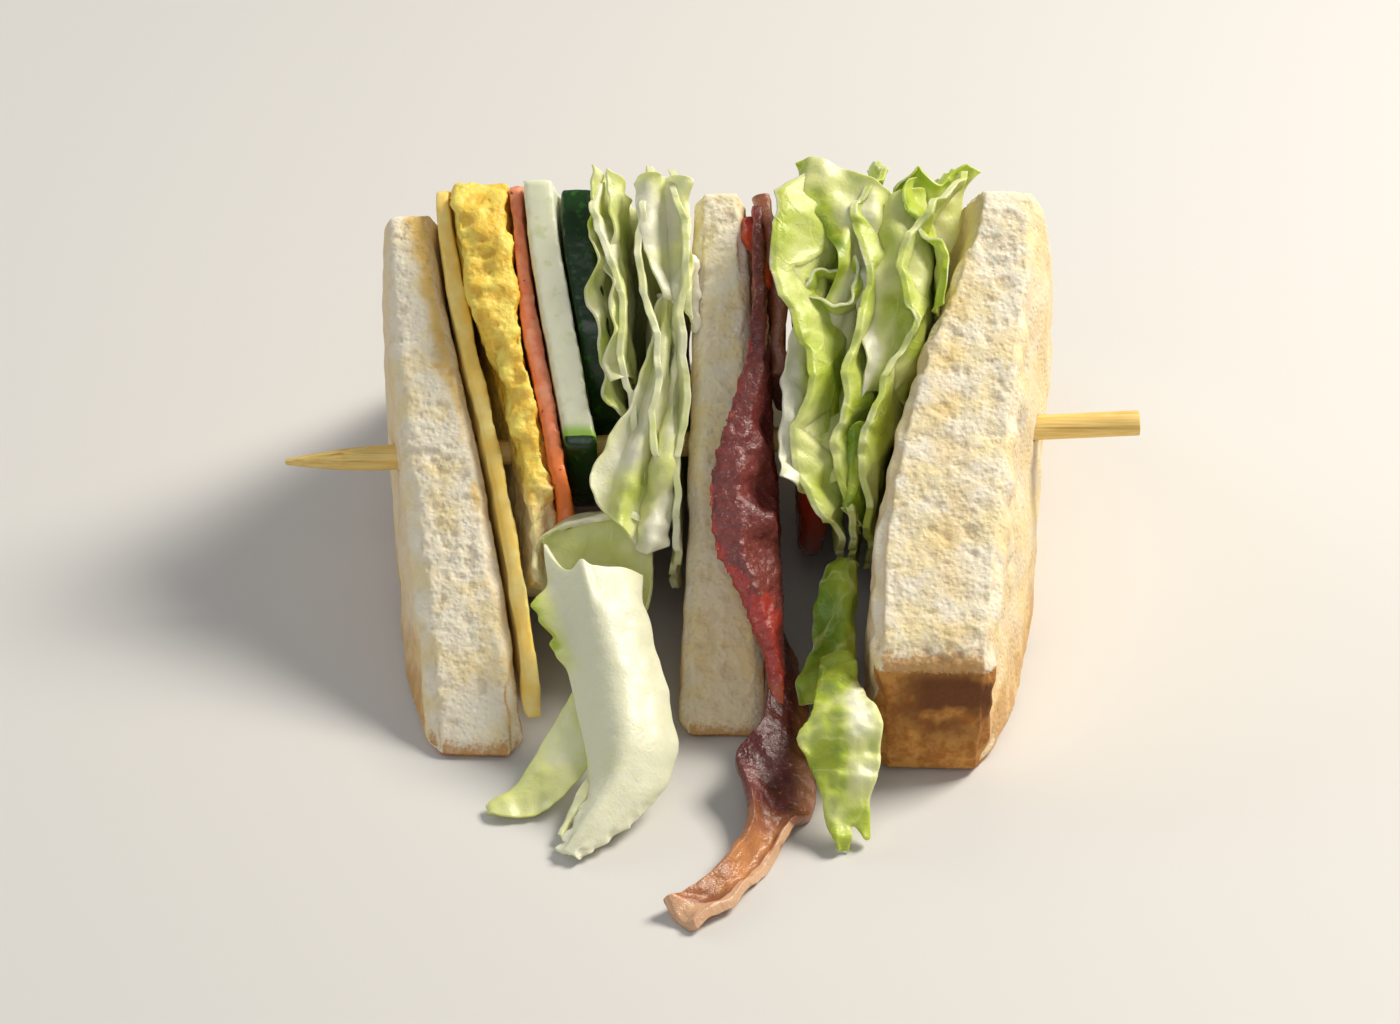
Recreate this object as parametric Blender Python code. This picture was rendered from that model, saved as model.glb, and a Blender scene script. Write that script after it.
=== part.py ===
"""One quarter of a club sandwich, pinned with a bamboo stick and stood on its crust.

Three square toasts with their fillings are cut along both diagonals, and one quarter stands
on its crust side, so that the layers stand upright and the two cut faces meet in a ridge.

X runs across the layers, Y along the crust and Z up. The origin is the middle of the middle
toast's crust side, on the surface that the piece stands on. Lengths are in millimetres until
make_object scales them to metres.
"""

import math

import bmesh
import bpy
from mathutils import Matrix, Vector, noise

MM = 0.001
GAP = 0.35  # left between two pieces that touch

# the quarter: the loaf's side is its crust, and half the side is its height
LOAF_SIDE = 100.0
RIDGE = LOAF_SIDE / 2
RIDGE_ROUND = 10.0  # how softly the stack changes its width across the ridge
HEIGHT_SHARE = 0.35  # how far the stack widens with height, and the rest with nearness to the ridge

# the lines along which flat pieces are cut into cells before they are bent
COLUMN = LOAF_SIDE / 16
COLUMNS = [COLUMN * k for k in range(-8, 9)]
WIDE_COLUMNS = [COLUMN * k for k in (-6, -4, -2, -1, 0, 1, 2, 4, 6)]
SNAP = 0.6  # a line passes this near to a corner without a cut of its own

# Boundaries between layers, as X at a bottom corner, half way up a cut face and at the ridge,
# then how much further right it bulges inside.
TOAST_LEFT_OUT = (-32.2, -35.6, -39.5, -2.5)
TOAST_LEFT_IN = (-20.6, -25.4, -34.2, -1.0)
CHEESE_EGG = (-18.2, -23.0, -31.9, -1.0)
EGG_HAM = (-12.7, -18.4, -25.3, 0.0)
HAM_CUCUMBER = (-10.4, -16.1, -23.3, 0.0)
CUCUMBERS = (-7.9, -12.1, -19.4, 0.0)
CUCUMBER_LETTUCE = (-9.9, -9.3, -15.2, 0.0)
TOAST_MIDDLE_LEFT = (-4.4, -3.1, -3.0, 0.0)
TOAST_MIDDLE_RIGHT = (6.9, 6.0, 3.5, 0.0)
BACON_TOMATO = (11.0, 10.4, 8.3, 0.0)
TOMATO_LETTUCE = (14.3, 13.9, 11.2, 0.0)
TOAST_RIGHT_IN = (19.0, 19.5, 31.0, 0.0)
TOAST_RIGHT_OUT = (32.1, 34.8, 38.3, 4.0)

# toasts: corners (Y, Z) of each and how they are rounded
TOAST_LEFT = ((-49.5, 0.0), (49.0, 0.0), (0.0, 46.0))
TOAST_MIDDLE = ((-45.0, 0.0), (46.5, 0.0), (0.0, 49.5))
TOAST_RIGHT = ((-50.5, 0.0), (50.0, 0.0), (0.0, 50.0), (-50.5, 15.5))
TOAST_CORNER = 3.0
TOAST_RIM = 1.3
TOAST_ROW = 12.5
TOAST_UNEVEN = (0.5, 14.0)  # the depth and size of the lumps in the two outer faces

# fillings; each OUT says how far it stands out of the front and back cut faces
SLICE_CORNER = 2.5
DISC_SIDES = 30
CHEESE_OUT = (0.5, 0.3)
OMELETTE_OUT = (1.0, 0.6)
HAM_OUT = (0.8, 0.4)
CUCUMBER_OUT = (0.3, 0.2)
TOMATO_OUT = (-1.5, 0.3)
CHEESE = ((-46.0, 3.0), (45.0, 3.0), (1.0, 49.0))
OMELETTE = ((-34.0, 15.0), (-22.0, 5.0), (41.0, 4.0), (43.0, 9.0), (2.0, 49.0), (-6.0, 46.0))
OMELETTE_HOLLOW = 1.5  # the gap that opens between cheese and egg below the egg's top fold
OMELETTE_LUMP = 36.0  # the height at which that top fold begins
OMELETTE_UNEVEN = (0.8, 16.0)
HAM = ((-30.5, 19.5), (-20.0, 6.0), (42.0, 4.5), (44.0, 8.0), (1.0, 49.5))
CUCUMBER_A_CENTRE = (-1.0, 31.5)
CUCUMBER_A_RADIUS = 22.5
CUCUMBER_B_CENTRE = (3.5, 29.5)
CUCUMBER_B_RADIUS = 18.2
TOMATO_CENTRE = (0.5, 24.5)
TOMATO_RADIUS = 23.0
TOMATO_RIM = 0.8

# lettuce between the toasts: three leaves on each side of the middle toast
LEAF = 0.8
LEAF_ROW = 4.5
LEAF_CORNER = 5.0
LEAF_SWAY = 0.7  # share of its free room that a leaf sways through
INNER_PITCH = 17.0  # length of one sway
OUTER_PITCH = 14.0
LEAVES = 3
INNER_LEAVES = (
    ((-33.0, 14.0), (-18.0, 4.0), (39.0, 4.0), (44.0, 9.0), (4.0, 49.0), (-3.0, 50.5), (-14.0, 40.5)),
    ((-29.0, 24.0), (-12.0, 6.0), (42.0, 3.0), (45.0, 8.0), (8.0, 48.0), (-1.0, 52.0), (-16.0, 38.0)),
    ((-32.5, 18.5), (-21.0, 5.0), (41.0, 4.0), (46.0, 7.0), (5.0, 49.0), (-3.0, 51.0), (-18.5, 35.5)),
)
OUTER_LEAVES = (
    ((-32.0, 22.5), (-22.0, 10.0), (38.0, 5.0), (47.0, 9.0), (6.0, 51.0), (-5.5, 52.5), (-15.0, 43.5)),
    ((-30.5, 21.5), (-20.0, 6.0), (42.0, 3.0), (49.0, 8.0), (9.0, 49.0), (-2.0, 52.0), (-20.0, 37.0)),
    ((-29.5, 22.5), (-18.0, 6.0), (44.0, 3.0), (48.0, 6.0), (4.0, 51.0), (-6.0, 51.0), (-24.0, 32.0)),
)
# how each leaf leans left outside the front cut face, per mm past the start, and how its lean
# changes as it folds to and fro with height, least at FOLD_HEIGHT
FLARE_START = 1.2
INNER_FLARE = (0.6, 0.1, -0.5)
OUTER_FLARE = (1.45, 1.0, 0.5)
INNER_FOLD = 0.2
OUTER_FOLD = 0.55
FOLD_HEIGHT = 38.5
FOLD_PITCH = 23.0

# bacon: a strip stood along the front cut face, and one laid along the crust with a long tail
BACON = 1.5
BACON_A = (
    (-47.5, 4.0), (-41.0, 13.5), (-35.5, 21.0), (-27.0, 29.0), (-15.5, 38.0), (-2.0, 49.0), (6.0, 40.0),
    (-5.0, 29.0), (-35.0, 5.0),
)
BACON_A_FLARE = 2.35
BACON_A_FLARE_START = 1.9
BACON_A_FLARE_HEIGHT = 25.3
BACON_A_FLARE_REACH = 15.0
BACON_A_OUT = 4.4
BACON_B_WAY = (
    ((9.9, -26.0, 7.4), (0.0, 0.0, 1.0)),
    ((10.0, -36.0, 7.4), (0.0, 0.0, 1.0)),
    ((10.2, -47.0, 6.6), (0.05, 0.0, 1.0)),
    ((9.3, -55.5, 5.4), (0.3, -0.1, 1.0)),
    ((8.0, -63.0, 4.4), (0.8, -0.1, 0.8)),
    ((5.6, -70.0, 3.0), (0.9, -0.5, 0.35)),
    ((1.5, -75.2, 1.4), (0.7, -0.8, 0.05)),
    ((-2.9, -78.0, 1.0), (0.5, -0.9, 0.0)),
)
BACON_B = (
    (-6.0, 0.0), (6.0, 0.0), (5.6, 14.0), (4.4, 21.0), (3.2, 28.0), (2.6, 37.0), (2.0, 45.0), (1.6, 52.0),
    (1.3, 57.0), (-1.0, 57.0), (-1.8, 51.0), (-2.4, 44.0), (-3.0, 36.0), (-3.6, 28.0), (-4.9, 21.0),
    (-6.0, 14.0),
)

# a rib of lettuce that hangs out at the front and rests its fingers on the table
RIB = 2.0
RIB_WAY = (
    ((-14.3, -31.0, 19.9), (1.0, 0.1, 0.15)),
    ((-11.2, -39.0, 15.8), (1.0, 0.1, 0.2)),
    ((-7.9, -47.0, 10.2), (1.0, 0.05, 0.3)),
    ((-7.4, -54.0, 6.5), (1.0, 0.0, 0.15)),
    ((-10.7, -60.0, 3.5), (0.95, -0.3, 0.1)),
    ((-15.1, -65.5, 1.0), (0.85, -0.5, 0.0)),
)
RIB_LEAF = (
    (-4.9, 0.0), (4.6, 0.0), (5.0, 10.0), (4.7, 20.0), (4.3, 27.0), (3.5, 34.0), (2.4, 40.0), (1.0, 43.6),
    (-0.6, 43.3), (-0.4, 39.5), (-1.4, 36.0), (-3.0, 39.6), (-4.2, 39.0), (-3.0, 33.5), (-4.6, 31.0),
    (-9.0, 35.0), (-14.2, 37.0), (-12.6, 33.0), (-9.0, 27.5), (-5.8, 21.0), (-5.3, 10.0),
)
RIB_CROWN = 0.5
RIB_CUP = -0.02

# a green two-toothed leaf tip that hangs out beside the right toast
TIP = 0.8
TIP_WAY = (
    ((14.6, -41.5, 10.8), (1.0, 0.0, 0.2)),
    ((14.9, -47.5, 11.4), (1.0, 0.0, 0.2)),
    ((15.0, -54.0, 11.4), (1.0, -0.1, 0.2)),
    ((14.8, -58.8, 8.0), (1.0, 0.0, 0.1)),
    ((15.1, -62.4, 4.0), (1.0, 0.1, 0.05)),
    ((15.4, -65.2, 0.9), (1.0, 0.1, 0.0)),
)
TIP_LEAF = (
    (-1.8, 0.0), (1.8, 0.0), (2.8, 10.0), (5.2, 13.0), (5.0, 18.5), (3.6, 22.0), (3.4, 26.5), (2.4, 26.8),
    (1.2, 24.0), (0.7, 29.0), (-0.6, 29.4), (-1.9, 24.5), (-2.6, 19.0), (-4.9, 15.5), (-3.2, 12.5),
    (-2.8, 9.0),
)
TIP_CUP = -0.03
STRIP_CORNER = 1.0
STRIP_COLUMN = 3.0
STRIP_ROW = 3.8

# the bamboo stick
STICK_RADIUS = 1.5
STICK_ENDS = (Vector((-51.0, -17.6, 21.2)), Vector((50.5, -13.4, 25.4)))
STICK_POINT = 9.0  # length of its sharpened end
STICK_TIP = 0.22  # the tip's radius as a share of the stick's
STICK_SIDES = 16


def across(corner, middle, ridge, bulge):
    """A boundary between two layers, as a function that gives its X at any Y and Z."""
    widest = math.hypot(RIDGE, RIDGE_ROUND) - RIDGE_ROUND

    def place(y, z):
        aside = (math.hypot(y, RIDGE_ROUND) - RIDGE_ROUND) / widest
        share = HEIGHT_SHARE * z / RIDGE + (1 - HEIGHT_SHARE) * (1 - aside)
        inside = min(max((RIDGE - z - abs(y)) / RIDGE, 0.0), 1.0)
        return (
            corner * (1 - share) * (1 - 2 * share)
            + middle * 4 * share * (1 - share)
            + ridge * share * (2 * share - 1)
            + bulge * 4 * inside * (1 - inside)
        )

    return place


def moved(place, by):
    """The boundary moved sideways, by a number or by a function of Y and Z."""
    return lambda y, z: place(y, z) + (by(y, z) if callable(by) else by)


def lumps(depth, size):
    """Soft lumps and hollows of the given depth and size."""
    return lambda y, z: depth * noise.noise(Vector((depth, y / size, z / size)))


def rise(value, start, length):
    """A smooth step from 0 to 1 that begins at start."""
    share = min(max((value - start) / length, 0.0), 1.0)
    return share * share * (3 - 2 * share)


def beyond(value, start):
    """How far a value is past start, with a soft beginning."""
    return (value - start + math.hypot(value - start, 1.0)) / 2


def outside_front(y, z):
    """How far a point is out of the front cut face."""
    return (z - y - RIDGE) / math.sqrt(2)


def rounded(corners, radius, step):
    """The closed outline through the corners, each rounded by a curve, with a point every step."""
    count = len(corners)
    points = []
    for i, corner in enumerate(corners):
        corner = Vector(corner)
        before = Vector(corners[i - 1]) - corner
        after = Vector(corners[(i + 1) % count]) - corner
        cut = min(radius, before.length * 0.4, after.length * 0.4)
        start = corner + before.normalized() * cut
        end = corner + after.normalized() * cut
        turns = max(2, round(2 * cut / step))
        for turn in range(turns + 1):
            t = turn / turns
            points.append(start * (1 - t) ** 2 + corner * 2 * t * (1 - t) + end * t**2)
        reach = after.length - cut - min(radius, after.length * 0.4)
        pieces = max(1, round(reach / step))
        points += [end + after.normalized() * reach * k / pieces for k in range(1, pieces)]
    return points


def disc(centre, radius):
    """A round outline."""
    turns = [2 * math.pi * k / DISC_SIDES for k in range(DISC_SIDES)]
    return [Vector(centre) + radius * Vector((math.cos(a), math.sin(a))) for a in turns]


def every(bm):
    return bm.verts[:] + bm.edges[:] + bm.faces[:]


def cut_face(sign, out):
    """The front (sign -1) or back (sign 1) cut face moved outwards, as a point and a normal."""
    normal = Vector((0.0, sign, 1.0)).normalized()
    return Vector((0.0, 0.0, RIDGE)) + normal * out, normal


def flat_blank(outline, thickness, columns, row, rim=0.0, trims=()):
    """A flat piece, its thickness along X, cut into columns along Y and rows along Z to bend it by."""
    bm = bmesh.new()
    bm.faces.new([bm.verts.new((0.0, y, z)) for y, z in outline])
    for point, normal in trims:
        bmesh.ops.bisect_plane(
            bm, geom=every(bm), dist=0.05, plane_co=point, plane_no=normal, clear_outer=True
        )
    pushed = bmesh.ops.extrude_face_region(bm, geom=bm.faces[:])
    far = [v for v in pushed["geom"] if isinstance(v, bmesh.types.BMVert)]
    bmesh.ops.translate(bm, vec=(thickness, 0.0, 0.0), verts=far)
    bmesh.ops.recalc_face_normals(bm, faces=bm.faces[:])
    if rim:
        rims = [e for e in bm.edges if abs(e.verts[0].co.x - e.verts[1].co.x) < thickness / 2]
        bmesh.ops.bevel(bm, geom=rims, offset=rim, segments=1, profile=0.5, affect="EDGES", material=-1)
    top = max(v.co.z for v in bm.verts)
    cuts = [(Vector((0, y, 0)), Vector((0, 1, 0))) for y in columns]
    cuts += [(Vector((0, 0, row * k)), Vector((0, 0, 1))) for k in range(1, math.ceil(top / row))]
    for point, normal in cuts:
        bmesh.ops.bisect_plane(bm, geom=every(bm), dist=SNAP, plane_co=point, plane_no=normal)
    return bm


def press(bm, thickness, left, right):
    """Bends a blank so that it fills the space between two boundaries."""
    for v in bm.verts:
        share = v.co.x / thickness
        y, z = v.co.y, v.co.z
        v.co.x = (1 - share) * left(y, z) + share * right(y, z)
    return bm


def bend_along(bm, thickness, way, crown=0.0, cup=0.0):
    """Bends a blank along a smooth way: its Y goes across, its Z along. It thins out towards its sides
    by crown, and its sides turn up by cup."""
    points = [Vector(point) for point, _ in way]
    sides = [Vector(side).normalized() for _, side in way]
    marks = [0.0]
    for a, b in zip(points, points[1:]):
        marks.append(marks[-1] + (b - a).length)
    widest = max(abs(v.co.y) for v in bm.verts)
    for v in bm.verts:
        i = max([k for k, mark in enumerate(marks[:-1]) if mark <= v.co.z] or [0])
        t = (v.co.z - marks[i]) / (marks[i + 1] - marks[i])
        a, b, c, d = (points[min(max(k, 0), len(points) - 1)] for k in range(i - 1, i + 3))
        first, second, third = c - a, 2 * a - 5 * b + 4 * c - d, 3 * b - a - 3 * c + d
        place = b + (first * t + second * t**2 + third * t**3) / 2
        slope = first + 2 * second * t + 3 * third * t**2
        slope.normalize()
        side = sides[i].lerp(sides[i + 1], min(max(t, 0.0), 1.0))
        side = (side - slope * side.dot(slope)).normalized()
        normal = side.cross(slope)
        out = (v.co.x - thickness / 2) * (1 - crown * (v.co.y / widest) ** 2)
        v.co = place + side * v.co.y + normal * (out + cup * v.co.y**2)
    return bm


def material(name, colour, roughness):
    made = bpy.data.materials.new(name)
    made.use_nodes = True
    shader = made.node_tree.nodes["Principled BSDF"]
    shader.inputs["Base Color"].default_value = (*colour, 1.0)
    shader.inputs["Roughness"].default_value = roughness
    shader.inputs["Metallic"].default_value = 0.0
    return made


def make_object(name, bm, look):
    """Closes the shape off, scales it to metres and puts it in the scene."""
    bmesh.ops.triangulate(bm, faces=bm.faces[:], quad_method="FIXED")
    bmesh.ops.recalc_face_normals(bm, faces=bm.faces[:])
    bmesh.ops.transform(bm, matrix=Matrix.Scale(MM, 4), verts=bm.verts[:])
    mesh = bpy.data.meshes.new(name)
    bm.to_mesh(mesh)
    bm.free()
    mesh.materials.append(look)
    mesh.shade_smooth()
    mesh.set_sharp_from_angle(angle=math.radians(40))
    obj = bpy.data.objects.new(name, mesh)
    bpy.context.scene.collection.objects.link(obj)
    return obj


def stick_mesh(radius, point):
    """A round stick between STICK_ENDS, sharpened at its left end over the length of point."""
    start, end = STICK_ENDS
    length = (end - start).length
    bm = bmesh.new()
    bmesh.ops.create_cone(
        bm, cap_ends=True, segments=STICK_SIDES, radius1=radius, radius2=radius, depth=length
    )
    bmesh.ops.bisect_plane(
        bm, geom=every(bm), dist=0.01, plane_co=(0, 0, point - length / 2), plane_no=(0, 0, 1)
    )
    for v in bm.verts:
        if point and v.co.z < point / 2 - length / 2:
            v.co.x *= STICK_TIP
            v.co.y *= STICK_TIP
    turn = (end - start).to_track_quat("Z", "Y").to_matrix().to_4x4()
    bmesh.ops.transform(bm, matrix=Matrix.Translation((start + end) / 2) @ turn, verts=bm.verts[:])
    return bm


def make_toasts(look):
    uneven = lumps(*TOAST_UNEVEN)
    toasts = (
        ("bread_left", TOAST_LEFT, moved(across(*TOAST_LEFT_OUT), uneven), across(*TOAST_LEFT_IN)),
        ("bread_middle", TOAST_MIDDLE, across(*TOAST_MIDDLE_LEFT), across(*TOAST_MIDDLE_RIGHT)),
        ("bread_right", TOAST_RIGHT, across(*TOAST_RIGHT_IN), moved(across(*TOAST_RIGHT_OUT), uneven)),
    )
    made = []
    for name, corners, left, right in toasts:
        thickness = right(0.0, 0.0) - left(0.0, 0.0)
        outline = rounded(corners, TOAST_CORNER, 2 * COLUMN)
        blank = flat_blank(outline, thickness, WIDE_COLUMNS, TOAST_ROW, TOAST_RIM)
        press(blank, thickness, moved(left, GAP / 2), moved(right, -GAP / 2))
        made.append(make_object(name, blank, look))
    return made


def make_slice(name, outline, left, right, look, out, grid=(COLUMNS, COLUMN), rim=0.0):
    """A filling between two boundaries, trimmed to stand out of the front and back cut faces."""
    trims = [cut_face(sign, distance) for sign, distance in zip((-1, 1), out)]
    thickness = right(0.0, RIDGE / 2) - left(0.0, RIDGE / 2)
    blank = flat_blank(outline, thickness, *grid, rim, trims)
    press(blank, thickness, moved(left, GAP / 2), moved(right, -GAP / 2))
    return make_object(name, blank, look)


def egg_hollow(y, z):
    """The gap beside the egg, under its top fold and near the front cut face."""
    depth = -outside_front(y, z)
    low_part = rise(z, 12, 8) * (1 - rise(z, OMELETTE_LUMP - 4, 6))
    return OMELETTE_HOLLOW * low_part * (1 - rise(depth, 6, 14))


def make_fillings(looks):
    cheese_left = across(*TOAST_LEFT_IN)
    cheese_egg = across(*CHEESE_EGG)
    egg_left = moved(cheese_egg, egg_hollow)
    egg_ham = moved(across(*EGG_HAM), lumps(*OMELETTE_UNEVEN))
    ham_cucumber = across(*HAM_CUCUMBER)
    cucumbers = across(*CUCUMBERS)
    cucumber_lettuce = across(*CUCUMBER_LETTUCE)
    tomato_left, tomato_right = across(*BACON_TOMATO), across(*TOMATO_LETTUCE)
    cheese = rounded(CHEESE, SLICE_CORNER, COLUMN)
    omelette = rounded(OMELETTE, SLICE_CORNER, COLUMN)
    ham = rounded(HAM, SLICE_CORNER, COLUMN)
    cucumber_a = disc(CUCUMBER_A_CENTRE, CUCUMBER_A_RADIUS)
    cucumber_b = disc(CUCUMBER_B_CENTRE, CUCUMBER_B_RADIUS)
    tomato = disc(TOMATO_CENTRE, TOMATO_RADIUS)
    green, red = looks["cucumber"], looks["tomato"]
    wide = (WIDE_COLUMNS, 2 * COLUMN)
    return [
        make_slice("cheese", cheese, cheese_left, cheese_egg, looks["cheese"], CHEESE_OUT),
        make_slice("omelette", omelette, egg_left, egg_ham, looks["egg"], OMELETTE_OUT),
        make_slice("ham", ham, egg_ham, ham_cucumber, looks["ham"], HAM_OUT),
        make_slice("cucumber_a", cucumber_a, ham_cucumber, cucumbers, green, CUCUMBER_OUT, wide),
        make_slice("cucumber_b", cucumber_b, cucumbers, cucumber_lettuce, green, CUCUMBER_OUT, wide),
        make_slice("tomato", tomato, tomato_left, tomato_right, red, TOMATO_OUT, wide, TOMATO_RIM),
    ]


def make_leaves(side, outlines, left, right, flare, fold, pitch, look):
    """Crisp leaves side by side between two boundaries. They sway as far as their room allows, and
    outside the front cut face they lean over to the left."""
    made = []
    for k, corners in enumerate(outlines):
        def middle(y, z, k=k):
            low = left(y, z) + GAP / 2
            room = (right(y, z) - GAP / 2 - low) / LEAVES
            sway = LEAF_SWAY * max(0.0, room - LEAF - GAP) / 2
            drift = 2 * noise.noise(Vector((k, y / 15, z / 15)))
            wave = math.sin(2 * math.pi * (z + 0.25 * y) / pitch + 2.1 * k + drift)
            out = beyond(outside_front(y, z), FLARE_START)
            lean = flare[k] - fold * math.cos(2 * math.pi * (z - FOLD_HEIGHT) / FOLD_PITCH)
            return low + room * (k + 0.5) + sway * wave - lean * out

        outline = rounded(corners, LEAF_CORNER, 2 * COLUMN)
        blank = flat_blank(outline, LEAF, COLUMNS, LEAF_ROW)
        press(blank, LEAF, moved(middle, -LEAF / 2), moved(middle, LEAF / 2))
        made.append(make_object(f"lettuce_{side}_{'abc'[k]}", blank, look))
    return made


def make_bacon_a(look):
    """The strip stood along the front cut face. It leans out over the middle toast."""
    inner = moved(across(*TOAST_MIDDLE_RIGHT), GAP + BACON / 2)

    def lean(z):
        return BACON_A_FLARE * math.exp(-(((z - BACON_A_FLARE_HEIGHT) / BACON_A_FLARE_REACH) ** 2))

    def middle(y, z):
        return inner(y, z) - lean(z) * beyond(outside_front(y, z), BACON_A_FLARE_START)

    def half(y, z):
        """Half the strip's width along X, which grows as it leans so that its thickness stays."""
        return BACON / 2 * math.hypot(1.0, lean(z) * rise(outside_front(y, z), FLARE_START, FLARE_START))

    outline = rounded(BACON_A, TOAST_CORNER, 2 * LEAF_ROW)
    blank = flat_blank(outline, BACON, COLUMNS, LEAF_ROW, trims=[cut_face(-1, BACON_A_OUT)])
    left = moved(middle, lambda y, z: GAP / 2 - half(y, z))
    press(blank, BACON, left, moved(middle, half))
    return make_object("bacon_a", blank, look)


def make_strip(name, outline, thickness, way, look, crown=0.0, cup=0.0):
    columns = [STRIP_COLUMN * k for k in range(-4, 5)]
    blank = flat_blank(rounded(outline, STRIP_CORNER, STRIP_ROW), thickness, columns, STRIP_ROW)
    bend_along(blank, thickness, way, crown, cup)
    return make_object(name, blank, look)


def pierce(pieces, leaves):
    """Cuts the stick's hole through each piece, and through the leaves, where the exact solver fails."""
    cutter = make_object("stick_hole", stick_mesh(STICK_RADIUS + GAP, 0.0), None)
    cutter.hide_render = True
    cutter.display_type = "WIRE"
    for piece in [*pieces, *leaves]:
        hole = piece.modifiers.new("stick hole", "BOOLEAN")
        hole.operation = "DIFFERENCE"
        hole.object = cutter
        if piece in leaves:
            hole.solver = "MANIFOLD"


def main():
    for obj in list(bpy.data.objects):
        bpy.data.objects.remove(obj, do_unlink=True)
    looks = {
        "bread": material("toast", (0.85, 0.74, 0.55), 0.9),
        "cheese": material("cheese", (0.95, 0.66, 0.12), 0.45),
        "egg": material("omelette", (0.93, 0.72, 0.22), 0.55),
        "ham": material("ham", (0.86, 0.42, 0.33), 0.45),
        "cucumber": material("cucumber", (0.80, 0.86, 0.66), 0.3),
        "lettuce": material("lettuce", (0.62, 0.76, 0.30), 0.4),
        "rib": material("lettuce rib", (0.88, 0.91, 0.74), 0.35),
        "bacon": material("bacon", (0.45, 0.12, 0.10), 0.35),
        "tomato": material("tomato", (0.72, 0.14, 0.05), 0.25),
        "bamboo": material("bamboo", (0.86, 0.72, 0.44), 0.6),
    }
    toasts = make_toasts(looks["bread"])
    fillings = make_fillings(looks)
    leaf = looks["lettuce"]
    inner_room = across(*CUCUMBER_LETTUCE), across(*TOAST_MIDDLE_LEFT)
    outer_room = across(*TOMATO_LETTUCE), across(*TOAST_RIGHT_IN)
    inner = make_leaves("inner", INNER_LEAVES, *inner_room, INNER_FLARE, INNER_FOLD, INNER_PITCH, leaf)
    outer = make_leaves("outer", OUTER_LEAVES, *outer_room, OUTER_FLARE, OUTER_FOLD, OUTER_PITCH, leaf)
    bacon = make_bacon_a(looks["bacon"])
    make_strip("bacon_b", BACON_B, BACON, BACON_B_WAY, looks["bacon"])
    make_strip("lettuce_hanging", RIB_LEAF, RIB, RIB_WAY, looks["rib"], RIB_CROWN, RIB_CUP)
    make_strip("lettuce_tip", TIP_LEAF, TIP, TIP_WAY, leaf, cup=TIP_CUP)
    make_object("skewer", stick_mesh(STICK_RADIUS, STICK_POINT), looks["bamboo"])
    pierce([*toasts, *[f for f in fillings if f.name != "cucumber_b"], bacon], [*inner, *outer])


main()
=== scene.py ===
"""The looks of a club sandwich quarter: toasts, fillings, crisp leaves, bacon and a bamboo stick.

X runs across the layers, Y along the crust and Z up. Shapes are worked out in millimetres and
scaled to metres when a piece is finished. A place on the front cut face is given by its X, by
its height up the face, and by how far it stands out of the face.
"""

import math

import bmesh
import bpy
from mathutils import Matrix, Vector, kdtree, noise


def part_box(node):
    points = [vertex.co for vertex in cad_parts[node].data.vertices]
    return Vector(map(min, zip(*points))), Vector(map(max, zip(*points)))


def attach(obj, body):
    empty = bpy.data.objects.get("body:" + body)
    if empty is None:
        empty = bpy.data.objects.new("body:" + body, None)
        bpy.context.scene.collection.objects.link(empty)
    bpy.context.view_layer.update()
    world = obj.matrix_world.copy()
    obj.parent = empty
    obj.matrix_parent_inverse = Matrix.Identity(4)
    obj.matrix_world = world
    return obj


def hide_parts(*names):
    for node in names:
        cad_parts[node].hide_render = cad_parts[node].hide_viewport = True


bl_info = {
    "name": "Club Sandwich Quarter",
    "version": (1, 0, 0),
    "blender": (4, 5, 0),
    "location": "View3D > Sidebar > Sandwich",
    "description": "Toasts, fillings, leaves and bacon around the packed solids of a club sandwich quarter",
    "category": "Add Mesh",
}

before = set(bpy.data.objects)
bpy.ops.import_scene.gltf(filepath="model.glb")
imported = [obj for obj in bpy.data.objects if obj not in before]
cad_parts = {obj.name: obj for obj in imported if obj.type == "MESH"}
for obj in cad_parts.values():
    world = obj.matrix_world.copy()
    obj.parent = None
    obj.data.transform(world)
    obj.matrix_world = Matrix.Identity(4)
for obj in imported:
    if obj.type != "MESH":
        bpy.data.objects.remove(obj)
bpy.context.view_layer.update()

noise.seed_set(1)  # without a seed, noise_vector differs from run to run

MM = 0.001
# the sandwich's measures, in mm
RIDGE = 50  # height of the ridge
SLOPE = math.sqrt(0.5)  # how far a step out of a cut face goes along Y and Z
STICK_START = Vector((-51, -17.6, 21.2))
STICK_END = Vector((50.5, -13.4, 25.4))
STICK_RADIUS = 1.5
STICK_POINT = 9  # length of its sharpened end
STICK_TIP = 0.22  # the tip's radius as a share of the stick's
TOMATO_CENTRE = (0.5, 24.5)  # Y and Z
TOMATO_RADIUS = 23
CUCUMBERS = (("cucumber_a", (-1, 31.5), 22.5), ("cucumber_b", (3.5, 29.5), 18.2))
STICK_DENT = 3.2  # how near its middle line the toasts give way to it
TABLE_GAP = 0.05  # the least height of a piece's points
LEAF_GAP = 0.1  # the least height of the points of leaves and bacon that lie on the table
CRUMB_CELL = 0.84  # the toasts' cells as a share of the other soft pieces'
BACON_CELL = 0.36
TIP_CELL = 0.25
DAB_CELL = 0.22


# ---- numbers and places


def rise(value, start, length):
    """A smooth step from 0 to 1 that begins at start."""
    share = min(max((value - start) / length, 0), 1)
    return share * share * (3 - 2 * share)


def outside_front(point):
    """How far a point is out of the front cut face."""
    return (point.z - point.y - RIDGE) * SLOPE


def outside_back(point):
    """How far a point is out of the back cut face."""
    return (point.z + point.y - RIDGE) * SLOPE


def on_face(place):
    """The point at an X, a height up the front cut face and a distance out of it."""
    x, height, out = place
    return Vector((x, height - RIDGE - out * SLOPE, height + out * SLOPE))


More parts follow.
